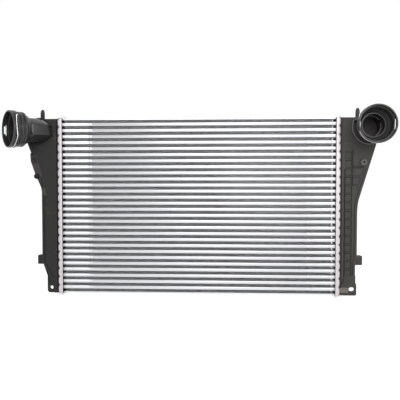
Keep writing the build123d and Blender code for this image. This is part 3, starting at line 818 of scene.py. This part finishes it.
def shared_dents(out, edge, height, rim_top):
    """The gap beside the header, and the fine groove that follows the tank's free edge."""
    gap = band(out, *HEADER_GAP, 0.8) * (1 - step(height, -1.5 * MM, -0.5 * MM))
    rim = band(edge, *RIM_GROOVE, 0.6) * (1 - step(height, rim_top - 8 * MM, rim_top))
    rim = rim * step(height, -376.0 * MM, -368.0 * MM)
    return np.maximum(3.0 * MM * gap, 2.0 * MM * rim)


def pin(x, sizes):
    """A locating pin: a turned post that narrows to a blunt tip, with a small foot."""
    r, top = sizes.pin_radius / MM, sizes.pin_height / MM
    rows = [(-3, 0, 0), (-3, r, 0), (0.2, r + 0.8, 0.6), (1.6, r, 1.2), (0.62 * top, r, 3)]
    rows += [(0.88 * top, 0.8 * r, 3), (top, 0.42 * r, 1.2), (top, 0, 0)]
    profile = rounded(rows, steps=6, closed=False)
    return lathe(profile, (x, 0, TANK_TOP), (0, 0, 1), (1, 0, 0), count=40, closed=False)


def rest_pad(side, rise):
    """The rounded block that stands out from the tank's side, with a shallow frame on its face."""
    rows = [(19.0, 0.0, 0), (51.7, 0.0, 1.6), (51.7, -2.6, 0.3), (50.7, -3.2, 0.3), (50.7, -7.0, 0)]
    reach, grow = rounded(rows, closed=False).T
    halves = mm(11.0, 10.5)
    return stacked(side * (CRIMP_X + reach), halves, grow, 1.8 * MM, 5, TANK_BOTTOM + rise)


def side_points(side, rows):
    """Points in X and Z from their reach past the crimp line and height, in millimetres."""
    rows = np.array(rows, float) * MM
    return np.stack([side * (CRIMP_X + rows[..., 0]), rows[..., 1]], axis=-1)


def lug(side, rows, steps, spacing, depths, hole):
    """A mounting lug from rows of (reach, height, rounding), all in millimetres. Its hole has a
    reach, a height, a radius and, for a slot, half its straight run."""
    outline = soften(side_points(side, rows), np.array(rows)[:, 2] * MM, steps)
    front, back = depths
    shape = (side_points(side, hole[:2]), *(size * MM for size in hole[2:]))
    return slab(along(outline, spacing * MM), front * MM, back * MM, 1.0 * MM, shape)


# ---------------------------------------------------------------- left tank
LEFT_NECK = mm(-366.7, -28.5)
STRIP_OUTER = np.array(
    [(61.5, -77.6), (64.8, -81.3), (63.6, -98.7), (54.2, -125.4), (39.7, -159.1), (36.8, -178.8)]
)
STRIP_INNER = np.array(
    [(54.0, -78.0), (51.0, -84.0), (46.5, -98.0), (37.0, -128.0), (30.0, -155.0), (26.0, -178.8)]
)
STRIP_POCKETS = np.array([(0.06, 0.22), (0.28, 0.42), (0.66, 0.82)])
STRIP_FRONT = -20.6
LEFT_LUG = [(8, -405, 0.5), (27.5, -405, 7), (27.5, -358, 4), (39.0, -334.5, 2), (8, -334.5, 0.5)]
LEFT_BOSS = [(-12, 6.5, 0), (-20.9, 6.5, 0.9), (-20.9, 3.0, 0.4), (-19.4, 2.4, 0.3)]
LEFT_BOSS += [(-19.4, 0, 0), (-12, 0, 0)]


def left_dents(out, edge, height):
    """The shared grooves, and a low raised panel near the top beside the header."""
    panel = band(out, 4.6, 19.0, 1.2) * band(height, -21.0, -7.0, 1.2)
    return shared_dents(out, edge, height, -168.0 * MM) - 0.7 * MM * panel


def left_well(out, height):
    """Where the left tank opens for its port: inside a circle about the neck."""
    return np.hypot(out + LEFT_NECK[0], height - LEFT_NECK[1]) < 25.4 * MM


def edge_strip():
    """The stiffening strip on the left tank's edge: a ruled surface between its two edges,
    with smooth pockets sunk into it and its rim rolled down to the tank."""
    t = np.linspace(0, 1, 90)
    nodes = np.linspace(0, 1, len(STRIP_OUTER))
    inner, outer = (
        np.stack([np.interp(t, nodes, line) for line in side.T], axis=1)
        for side in (STRIP_INNER, STRIP_OUTER)
    )
    rim, rolled = np.linspace(0.0, 0.1, 4), np.array([1.6, 0.7, 0.2, 0.0])
    w = np.concatenate([[0.0], rim, np.linspace(0.16, 0.84, 14), np.linspace(0.9, 1, 4), [1.0]])
    roll = np.concatenate([[12.0], rolled, np.zeros(14), rolled[::-1], [12.0]])
    spots = inner[:, None] * (1 - w)[None, :, None] + outer[:, None] * w[None, :, None]
    dip = sum(plateau(t, low, high, 0.05)[:, None] for low, high in STRIP_POCKETS)
    dip = dip * plateau(w, 0.15, 0.85, 0.16)[None] * 4.0
    end = 1.6 * (1 - step(t, 0.0, 0.012)) + 1.6 * step(t, 0.988, 1.0)
    y = (STRIP_FRONT + np.maximum(roll[None], end[:, None]) + dip) * MM
    y[[0, -1]] = np.maximum(y[[0, -1]], -19.0 * MM)
    points = xyz(-(CRIMP_X + spots[..., 0] * MM), y, spots[..., 1] * MM)
    back = points[:, ::-1].copy()
    back[..., 1] = -8.0 * MM
    return capped(np.concatenate([points, back], axis=1))


class COOLER_OT_left_tank(bpy.types.Operator):
    """Build the left tank with its pin, pad, lug, port base, edge strip and boss"""

    bl_idname = "cooler.left_tank"
    bl_label = "Left tank"

    def execute(self, context):
        sizes = context.scene.cooler_tank
        bore = context.scene.cooler_port.bore / MM
        edges = mm(-368.0, -176.0, -168.0, -21.0, -7.0)
        rows = tank_rows(sizes.rounding, edges, 2.0 * MM)
        columns = [[-3.5], around(HEADER_GAP, 0.8), around([4.6, 19.0], 1.2), np.arange(6, 28, 2.0)]
        body = tank_body(-1, LEFT_OUTLINE, rows, columns, sizes.rounding, left_dents, left_well)
        base = [(-10, 30.3, 0), (-23.2, 30.3, 0.8), (-23.2, 28.4, 0.6), (-20.4, 28.0, 0.3)]
        base += [(-20.4, bore, 0.3), (11, bore, 0.5), (11, 0, 0), (12.4, 0, 0)]
        base += [(12.4, bore + 1, 0.3), (-10, bore + 1, 0)]
        shells = [body, spun(LEFT_NECK, base, 96), pin(-365 * MM, sizes), rest_pad(-1, 76.5 * MM)]
        shells.append(lug(-1, LEFT_LUG, 6, 2, (-16, -11), (17.4, -392.8, 4.1)))
        piece("left_tank_moulding", shells, "left", ["left_tank"])
        # The edge strip takes a lighter finish as painted light.
        piece("left_edge_strip", [edge_strip()], "strip", [])
        boss = spun(side_points(-1, (49.5, -133.0)), LEFT_BOSS, 40)
        piece("left_boss", [boss], "rubber", [])
        return {"FINISHED"}


# ---------------------------------------------------------------- right tank
RIGHT_NECK = mm(387.5, -22.0)
LADDER_MIDS = TANK_BOTTOM / MM + 50.0 + 19.2 * np.arange(15)
BOSS_SPOT = side_points(1, (50.6, -101.9))
RIGHT_LUG = [(8, -405, 0.5), (37.3, -405, 4), (37.3, -379.5, 3), (35.0, -376.0, 2)]
RIGHT_LUG += [(35.0, -359, 1), (8, -359, 0.5)]
RIGHT_BOSS = [(-17, 7.6, 1), (-28, 7.2, 1), (-28, 4.7, 0.5), (-19, 4.7, 0), (-19, 0, 0)]
RIGHT_BOSS += [(-17, 0, 0)]


def right_dents(out, edge, height):
    """The shared grooves, pockets between the ladder ribs, a second column of pockets where the
    tank widens, a narrow groove beside the header and a line between the two columns."""
    pockets = sum(band(height, mid - 8.0, mid + 8.0, 1.4) for mid in LADDER_MIDS)
    ladder = pockets * band(out, 10.6, 24.6, 1.4)
    wide = pockets * band(out, 27.4, 1000.0, 1.4) * step(edge, 5.4 * MM, 7.2 * MM)
    wide = wide * band(height, -166.0, -112.0, 1.4)
    groove = band(out, 7.4, 9.4, 0.8) * band(height, -379.0, -119.0, 4.0)
    line = band(out, 25.0, 27.0, 0.8) * band(height, -156.0, -74.0, 4.0)
    depth = bpy.context.scene.cooler_tank.ladder_depth
    sunk = np.maximum(depth * np.maximum(ladder, 0.7 * wide), 3.0 * MM * np.maximum(groove, line))
    return np.maximum(shared_dents(out, edge, height, -112.0 * MM), sunk)


def port_reach(angle):
    """Reach of the port's land from the neck's middle: for each direction, the least of a circle,
    the tank's top and its sloping edge, but never less than the neck."""
    slope = np.array([0.937, -0.348])
    slope /= np.linalg.norm(slope)
    top = 16.0 * MM / np.maximum(np.sin(angle), 1e-3)
    edge = 21.0 * MM / np.maximum(np.cos(angle) * slope[0] + np.sin(angle) * slope[1], 1e-3)
    return np.clip(np.minimum(top, edge), 26.0 * MM, 41.0 * MM)


def right_well(out, height):
    """Where the right tank opens for its port: inside the land's bead."""
    aside, up = out - RIGHT_NECK[0], height - RIGHT_NECK[1]
    return np.hypot(aside, up) < np.maximum(port_reach(np.arctan2(up, aside)) - 3.4 * MM, 25.2 * MM)


def round_port(reach, y, angle):
    """Rings about the right neck, from their reach in each direction and their depth: one surface
    that closes on itself both ways."""
    x, z = RIGHT_NECK[0] + reach * np.cos(angle), RIGHT_NECK[1] + reach * np.sin(angle)
    return ringed(xyz(x, y[:, None], z), wrap=True)


def port_platform():
    """The round land of the port: a ridge along its reach, and inside it a moat round the neck."""
    angle = circle(96)
    share = np.array([0.0, 0.0, 0.02, 0.05, 0.09, 0.13, 0.17, 0.2, 0.22, 1.0, 1.0])[:, None]
    y = mm(-12.0, -19.8, -22.4, -24.3, -25.0, -24.5, -22.6, -18.5, -13.0, -13.0, -12.0)
    return round_port(port_reach(angle) * (1 - share) + 24.8 * MM * share, y, angle)


def port_bead():
    """The bead along the edge of the port's land, lightened as a painted highlight: a round rod
    laid on its reach.
    """
    angle = circle(96)
    bent = circle(10)
    reach = port_reach(angle) - 2.2 * MM + 1.5 * MM * np.cos(bent)[:, None]
    return round_port(reach, -24.6 * MM - 1.5 * MM * np.sin(bent), angle)


def foot_ribs():
    """The scuffed rib pad of the right foot: a low plate with three upright ribs."""
    plate = side_points(1, [(0.2, -398.6), (18.0, -398.6), (18.0, -386.8), (0.2, -386.8)])
    shells = [slab(along(soften(plate, 1.0 * MM), 2 * MM), -20.9 * MM, -18.0 * MM, 0.4 * MM)]
    for start, end in ((1.6, 5.6), (7.0, 11.0), (13.4, 16.4)):
        rib = side_points(1, [(start, -398.0), (end, -398.0), (end, -387.6), (start, -387.6)])
        shells.append(slab(soften(rib, 0.6 * MM, steps=3), -22.0 * MM, -19.0 * MM, 0.5 * MM))
    return shells


class COOLER_OT_right_tank(bpy.types.Operator):
    """Build the right tank with its pin, pad, lug and port land, the bead, the boss and the foot"""

    bl_idname = "cooler.right_tank"
    bl_label = "Right tank"

    def execute(self, context):
        sizes = context.scene.cooler_tank
        neck, bore = context.scene.cooler_port.neck / MM, context.scene.cooler_port.bore / MM
        edges = np.concatenate([LADDER_MIDS - 8, LADDER_MIDS + 8]) * MM
        rows = tank_rows(sizes.rounding, edges, 1.4 * MM)
        edges = around([7.4, 9.4, 10.6, 24.6, 25.4, 27.4], 1.0)
        columns = [[-3.5, 4.0], around(HEADER_GAP, 0.8), edges, np.linspace(12.5, 23.0, 5)]
        body = tank_body(1, RIGHT_OUTLINE, rows, columns, sizes.rounding, right_dents, right_well)
        lobe = [(-22, neck, 0.3), (19.4, neck, 7), (19.4, 0, 0), (11, 0, 0), (11, bore, 0.5)]
        lobe += [(-22, bore, 0.3)]
        shells = [body, spun(RIGHT_NECK, lobe, 96, steps=7), port_platform()]
        shells += [pin(365 * MM, sizes), rest_pad(1, 79.0 * MM)]
        shells.append(lug(1, RIGHT_LUG, 5, 1.5, (-19.4, -15), (25.8, -390.6, 4.5, 1.5)))
        piece("right_tank_moulding", shells, "right", ["right_tank"])
        # The bead takes a light finish as a painted highlight along the land's edge.
        piece("port_bead", [port_bead()], "bead", [])
        boss = spun(BOSS_SPOT, RIGHT_BOSS, 48, steps=5)
        piece("screw_boss", [boss], "boss", [])
        piece("right_foot_ribs", foot_ribs(), "foot", [])
        return {"FINISHED"}


# ================================================================== sockets
# Rows of (way along the axis from the mouth, radius, rounding), in millimetres.
SOCKET_OUTSIDE = [
    (0.0, 38.6, 0.2), (0.0, 41.6, 2.7), (4.4, 41.6, 0.5), (4.4, 38.9, 0.3), (11.0, 38.9, 0.3),
    (11.0, 41.6, 0.5), (14.2, 41.6, 2.6), (15.6, 37.0, 0.8), (17.8, 37.0, 0.8), (18.8, 39.3, 0.9),
    (23.6, 39.3, 0.9), (24.6, 36.9, 0.7), (26.6, 36.9, 0.7), (27.6, 39.3, 0.9), (32.0, 39.3, 1.6),
    (42.0, 27.6, 1.2), (43.4, 27.6, 0.6), (44.0, 27.0, 0.6),
]
SOCKET_INSIDE = [
    (41.5, 24.5, 0.6), (41.5, 27.6, 0.6), (43.6, 28.0, 0.3), (43.6, 29.6, 0.5), (35.0, 35.4, 1.2),
    (13.0, 36.0, 0.6), (13.0, 38.0, 0.6), (11.0, 38.0, 0.0), (4.4, 38.0, 0.0),
]
NECK_START, NECK_STOPS = 46.0 * MM, 27
FLANGE, GROOVE, MOUTH = 41.6, 38.9, 38.0
GROOVE_START, GROOVE_END = 4.4, 11.0
# The clip's wire: its radius under the socket, and its ways back from the mouth in the groove,
# where the legs turn back, and at their ends.
WIRE_LIE, WIRE_GROOVE, WIRE_TURN, WIRE_END = 40.3, 8.75, 9.6, 16.5
PORTS = {
    "left": {
        "mouth": mm(-418.0, -80.0, -28.5),
        "back": np.array([np.sin(np.radians(50.0)), np.cos(np.radians(50.0)), 0.0]),
        "straight": 53.0 * MM,
        "bend": 30.0 * MM,
        "past": 1.2 * MM,
        "ledge": True,
        "windows": np.radians([50.0, 111.0, 256.0, 282.0]),
        "clip": [(30.0, 29.0), (38.4, -16.6), (-36.6, 20.0), (-36.8, -15.0)],
    },
    "right": {
        "mouth": mm(387.5, -100.0, -22.0),
        "back": np.array([0.0, 1.0, 0.0]),
        "straight": 78.3 * MM,
        "bend": 30.0 * MM,
        "past": 0.0,
        "ledge": False,
        "windows": np.radians([77.0, 103.0, 258.0, 284.0]),
        "clip": [(36.4, 20.0), (36.3, -17.6), (-36.4, 20.0), (-36.3, -17.6)],
    },
}


def port_line(port, ways):
    """Centres and headings along a socket's axis: straight, then an arc until it points
    straight back, then straight again."""
    heading = np.arctan2(port["back"][1], port["back"][0])
    sweep = np.pi / 2 - heading
    arc = port["bend"] * sweep
    angle = heading + sweep * np.clip((ways - port["straight"]) / max(arc, TINY), 0, 1)
    centre = port["mouth"][:2] + np.minimum(ways, port["straight"])[:, None] * port["back"][:2]
    shift = np.stack([np.sin(angle) - np.sin(heading), np.cos(heading) - np.cos(angle)], axis=1)
    beyond = np.maximum(ways - port["straight"] - arc, 0)[:, None] * bearing(angle)
    z = np.full(len(ways), port["mouth"][2])
    headings = np.column_stack([bearing(angle), angle * 0])
    return np.column_stack([centre + port["bend"] * shift + beyond, z]), headings


def neck_ledge(angles):
    """Radius of the left neck in millimetres round its axis: a circle that grows on the near side
    and is cut by two flats, one upright at the front and one under it that faces down."""
    way = np.degrees(angles % TURN)
    grown = 27.0 + 5.0 * step(way, 35.0, 80.0)
    grown -= (grown - 27.0) * step(way, 158.0, 172.0)
    front = 29.6 / np.maximum(np.cos(np.radians(way - 86.0)), 0.1)
    under = 26.3 / np.maximum(np.cos(np.radians(way - 147.0)), 0.1)
    flats = np.minimum(grown, np.minimum(front, np.where(way > 60.0, under, 99.0)))
    flats += 1.5 * np.exp(-(((way - 109.0) / 3.6) ** 2))
    return np.where(way < 175.0, flats, 27.0)


def window_angles(windows, count):
    """Angles round a socket from straight up, with stops exactly at the clip windows' edges."""
    ends = np.append(windows, windows[0] + TURN)
    shares = np.maximum(6, np.rint(np.diff(ends) / TURN * count)).astype(int)
    runs = [np.linspace(a, b, n, endpoint=False) for a, b, n in zip(ends[:-1], ends[1:], shares)]
    return np.concatenate(runs)


def without_repeats(points, nearest):
    """The points, less those nearer than this to the one before."""
    return points[np.r_[True, np.linalg.norm(np.diff(points, axis=0), axis=1) > nearest]]


def socket_profile(neck, bore, end):
    """Ways along the axis and radii, out along the socket and its neck and back inside them."""
    run = np.linspace(NECK_START, end, NECK_STOPS)
    outer = rounded(SOCKET_OUTSIDE, steps=5, closed=False)
    inner = rounded(SOCKET_INSIDE, steps=5, closed=False)
    neck_out = np.column_stack([run, np.full(len(run), neck)])
    neck_in = np.column_stack([run[::-1], np.full(len(run), bore)])
    return without_repeats(np.vstack([outer, neck_out, neck_in, inner]), WELD)


def cut_windows(faces, ring, groove, mouth, starts, stops):
    """Takes the groove's and the mouth's faces out between starts and stops, and joins their rims
    by walls. Groove and mouth are rows of the grid; starts and stops are columns."""
    gone = np.concatenate([np.arange(a, b) for a, b in zip(starts, stops)])
    rows = np.r_[np.arange(groove[0], groove[-1]), np.arange(mouth[0], mouth[-1])]
    kept = ~(np.isin(faces[:, 0] // ring, rows) & np.isin(faces[:, 0] % ring, gone))
    j, k = gone, (gone + 1) % ring
    parts = [faces[kept]]
    for a, b in ((groove[0], mouth[-1]), (mouth[0], groove[-1])):
        parts.append(np.stack([a * ring + j, a * ring + k, b * ring + k, b * ring + j], axis=1))
    at = np.linspace(0, len(mouth) - 1, len(groove))
    lower, upper = np.rint(at[:-1]).astype(int), np.rint(at[1:]).astype(int)
    for edge, way in [(start, -1) for start in starts] + [(stop, 1) for stop in stops]:
        g, i = groove * ring + edge, mouth[::-1] * ring + edge
        parts.append(np.stack([g[:-1], g[1:], i[upper], i[lower]], axis=1)[:, ::way])
    return np.concatenate(parts)


def socket_shell(port, columns, neck, bore):
    """The socket as rings carried along its axis: out over the flange, groove and ridges, down
    the cone to the neck and the tank, and back inside. Two windows are cut through the groove."""
    sweep = np.pi / 2 - np.arctan2(port["back"][1], port["back"][0])
    profile = socket_profile(neck, bore, port["straight"] + port["bend"] * sweep + port["past"])
    angles = window_angles(port["windows"], columns)
    centres, headings = port_line(port, profile[:, 0])
    way, radius = profile[:, 0] / MM, profile[:, 1] / MM
    spread = radius[:, None] + np.zeros(len(angles))
    crown = 1 - step(abs((angles + np.pi) % TURN - np.pi), np.radians(41.0), np.radians(48.0))
    beside = (way > GROOVE_START - 0.01) & (way < GROOVE_END + 0.01)
    grooved = beside & (radius > 38.5)
    spread[grooved] += (FLANGE - spread[grooved]) * crown
    if port["ledge"]:
        outer_neck = (radius > 26.9) & (radius < 27.7) & (way > 41.9)
        share = step(way[outer_neck], 42.0, 47.0)[:, None]
        spread[outer_neck] += share * (neck_ledge(angles) - spread[outer_neck])
    points = turn(spread * MM, centres, headings, (0, 0, 1), angles)
    groove = np.flatnonzero(beside & (abs(radius - GROOVE) < 0.31))
    mouth = np.flatnonzero(beside & (abs(radius - MOUTH) < 0.05))
    starts, stops = np.searchsorted(angles, port["windows"] - 1e-9).reshape(2, 2).T
    faces = grid(*points.shape[:2], wrap=True)
    return shell(points, cut_windows(faces, len(angles), groove, mouth, starts, stops))


class COOLER_OT_sockets(bpy.types.Operator):
    """Build the two quick-fit sockets with their necks"""

    bl_idname = "cooler.sockets"
    bl_label = "Port sockets"

    def execute(self, context):
        sizes = context.scene.cooler_port
        for side, port in PORTS.items():
            made = socket_shell(port, sizes.columns, sizes.neck, sizes.bore)
            name = f"{side}_socket"
            piece(name, [made], name, ["port_sockets"], sharp=50.0)
        return {"FINISHED"}


def clip_wire(port, wire):
    """A round wire bent to the groove: under the socket it follows the groove, then both legs run
    straight up through the windows, and their ends turn back over the ridges. The centre line has
    (aside, up, back along the axis) as its coordinates; each ring starts from the way outwards."""
    top, low, far_top, far_low = np.array(port["clip"])
    under = np.linspace(np.arctan2(low[1], low[0]), np.arctan2(far_low[1], far_low[0]), 48)
    share = np.linspace(-1, 1, 48)
    ends = np.where(share < 0, np.hypot(*low), np.hypot(*far_low))
    lie = WIRE_LIE + (ends - WIRE_LIE) * step(abs(share), 0.62, 1.0)
    arc = bearing(under) * lie[:, None]
    head, tail = top * 1.03, far_top * 1.03
    flat = np.vstack([head, head, head - (0, 3.0), arc, tail - (0, 3.0), tail, tail])
    back_to = np.full(len(flat), WIRE_GROOVE)
    back_to[[0, 1, -2, -1]] = WIRE_END, WIRE_TURN, WIRE_TURN, WIRE_END
    line = np.column_stack([flat, back_to]) * MM
    reach = np.full(len(line), 0.4 * MM)
    reach[[1, 2, 3, -2, -3, -4]] = 1.6 * MM
    line = without_repeats(soften(line, reach, steps=5, closed=False), 1e-6)
    run = unit(np.gradient(line, axis=0))
    first = unit(line * (1, 1, 0))
    first = unit(first - (first * run).sum(axis=1, keepdims=True) * run)
    second = np.cross(run, first)
    up = np.array([0.0, 0.0, 1.0])
    axes = np.stack([np.cross(port["back"], up), up, port["back"]])
    angles = circle(12)[None, :, None]
    ring = np.cos(angles) * first[:, None] + np.sin(angles) * second[:, None]
    radius = np.r_[0, 0.75, np.ones(len(line) - 4), 0.75, 0][:, None, None] * wire
    return ringed(port["mouth"] + (line[:, None] + radius * ring) @ axes)


class COOLER_OT_clips(bpy.types.Operator):
    """Build the spring wire clips of both sockets"""

    bl_idname = "cooler.clips"
    bl_label = "Spring clips"

    def execute(self, context):
        wire = context.scene.cooler_port.wire
        wires = [clip_wire(port, wire) for port in PORTS.values()]
        piece("spring_clips", wires, "wire", ["port_spring_clips"], sharp=80.0)
        return {"FINISHED"}


class COOLER_OT_insert(bpy.types.Operator):
    """Build the threaded insert in the screw boss"""

    bl_idname = "cooler.insert"
    bl_label = "Threaded insert"

    def execute(self, context):
        rows = [(-27.8, 2.9, 0.2), (-27.8, 4.5, 0.4), (-19.2, 4.5, 0.2), (-19.2, 2.5, 0)]
        rows += [(-26.6, 2.5, 0.2)]
        made = spun(BOSS_SPOT, rows, 40)
        piece("screw_insert", [made], "insert", ["boss_insert"])
        return {"FINISHED"}


class COOLER_OT_kept(bpy.types.Operator):
    """Give the CAD nodes that stay their finishes"""

    bl_idname = "cooler.kept"
    bl_label = "Finishes of kept nodes"

    def execute(self, context):
        wanted = {
            "top_side_plate": "plate",
            "bottom_side_plate": "plate",
            "tube_turbulators": "fin",
            "left_tank_gasket": "rubber",
            "right_tank_gasket": "rubber",
        }
        for name, finish in wanted.items():
            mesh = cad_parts[name].data
            mesh.materials.clear()
            mesh.materials.append(finish_of(finish))
        return {"FINISHED"}


# ================================================================== stage
WHITE = (1.0, 1.0, 1.0, 1.0)
FLOOR_GREY = (0.88, 0.88, 0.88, 1.0)
FLOOR_GLOW = 0.85
FLOOR_DROP = 0.0002


def area_lamp(name, spot, target, size, power):
    """A soft rectangular lamp at a spot, facing a target."""
    lamp = bpy.data.lights.new(name, "AREA")
    lamp.shape = "RECTANGLE"
    lamp.size, lamp.size_y = size
    lamp.energy = power
    made = bpy.data.objects.new(name, lamp)
    made.location = spot
    made.rotation_euler = (Vector(target) - Vector(spot)).to_track_quat("-Z", "Y").to_euler()
    bpy.context.scene.collection.objects.link(made)


def seen_directly(tree, *rays):
    """1 for the camera's own rays and rays of the given kinds, and 0 for the rest."""
    path = add(tree, "ShaderNodeLightPath", {})
    seen = path["Is Camera Ray"]
    for ray in rays:
        seen = worked(tree, "MAXIMUM", seen, path[ray])
    return seen


def white_world(ambient):
    """White all round: full for the camera and for reflections, softer as light."""
    world = bpy.data.worlds.new("White studio")
    bpy.context.scene.world = world
    world.use_nodes = True
    tree = world.node_tree
    seen = seen_directly(tree, "Is Transmission Ray", "Is Glossy Ray")
    inputs = {"Color": WHITE, "Strength": ranged(tree, seen, ambient, 1.0)}
    fill(tree, tree.nodes["Background"], inputs)


def floor_finish():
    """A pale matt floor that looks white to the camera and in reflections, and keeps shadows."""
    finish = bpy.data.materials.new("Pale floor")
    finish.use_nodes = True
    tree = finish.node_tree
    seen = seen_directly(tree, "Is Glossy Ray")
    inputs = {"Base Color": FLOOR_GREY, "Roughness": 0.9, "Specular IOR Level": 0.0}
    inputs["Emission Color"] = WHITE
    inputs["Emission Strength"] = worked(tree, "MULTIPLY", seen, FLOOR_GLOW)
    fill(tree, tree.nodes["Principled BSDF"], inputs)
    return finish


def aim_camera():
    """The camera, level with the tank tops and turned slightly to the left."""
    eye = Vector((0.07394, -1.34744, -0.14233))
    target = Vector((0.004688, 0.0, -0.188357))
    back = (eye - target).normalized()
    right = Vector((-back.y, back.x, 0.0)).normalized()
    up = back.cross(right)
    lens = bpy.data.cameras.new("Camera")
    lens.sensor_width = 36.0
    lens.lens = 52.218
    made = bpy.data.objects.new("Camera", lens)
    turn_to = Matrix((right, up, back)).transposed()
    made.matrix_world = Matrix.Translation(eye) @ turn_to.to_4x4()
    bpy.context.scene.collection.objects.link(made)
    bpy.context.scene.camera = made


class COOLER_OT_stage(bpy.types.Operator):
    """Set the floor, the light and the camera"""

    bl_idname = "cooler.stage"
    bl_label = "Stage"

    def execute(self, context):
        light = context.scene.cooler_stage
        level = CAD_BOX[0][2] - FLOOR_DROP
        mesh = bpy.data.meshes.new("floor")
        corners = [(-4, -3, level), (4, -3, level), (4, 4, level), (-4, 4, level)]
        mesh.from_pydata(corners, [], [(0, 1, 2, 3)])
        mesh.materials.append(floor_finish())
        floor = bpy.data.objects.new("floor", mesh)
        context.scene.collection.objects.link(floor)
        area_lamp("Key lamp", (0.15, -2.2, 0.75), (0, 0, -0.2), (1.8, 1.2), light.key)
        area_lamp("Fill lamp", (1.6, -1.6, 0.5), (0.2, 0, -0.2), (1.0, 1.0), light.fill)
        white_world(light.ambient)
        context.scene.view_settings.view_transform = "Standard"
        aim_camera()
        return {"FINISHED"}


# ================================================================== panel and main
PIECE_OPERATORS = (
    COOLER_OT_tubes,
    COOLER_OT_fins,
    COOLER_OT_headers,
    COOLER_OT_left_tank,
    COOLER_OT_right_tank,
    COOLER_OT_sockets,
    COOLER_OT_clips,
    COOLER_OT_insert,
    COOLER_OT_kept,
    COOLER_OT_stage,
)


class COOLER_PT_panel(bpy.types.Panel):
    """Lists the pieces of the intercooler"""

    bl_idname = "COOLER_PT_panel"
    bl_label = "Intercooler"
    bl_space_type = "VIEW_3D"
    bl_region_type = "UI"
    bl_category = "Intercooler"

    def draw(self, context):
        for operator in PIECE_OPERATORS:
            self.layout.operator(operator.bl_idname)
        for key, settings in SETTINGS.items():
            box = self.layout.box()
            box.label(text=settings.__doc__.split(".")[0])
            for name in settings.__annotations__:
                box.prop(getattr(context.scene, key), name)


CLASSES = (*SETTINGS.values(), *PIECE_OPERATORS, COOLER_PT_panel)


def register():
    for cls in CLASSES:
        bpy.utils.register_class(cls)
    for key, settings in SETTINGS.items():
        setattr(bpy.types.Scene, key, PointerProperty(type=settings))


def unregister():
    for key in SETTINGS:
        delattr(bpy.types.Scene, key)
    for cls in reversed(CLASSES):
        bpy.utils.unregister_class(cls)


def main():
    """Builds every piece and the stage."""
    register()
    bpy.ops.cooler.tubes()
    bpy.ops.cooler.fins()
    bpy.ops.cooler.headers()
    bpy.ops.cooler.left_tank()
    bpy.ops.cooler.right_tank()
    bpy.ops.cooler.sockets()
    bpy.ops.cooler.clips()
    bpy.ops.cooler.insert()
    bpy.ops.cooler.kept()
    bpy.ops.cooler.stage()


if __name__ == "__main__":
    main()
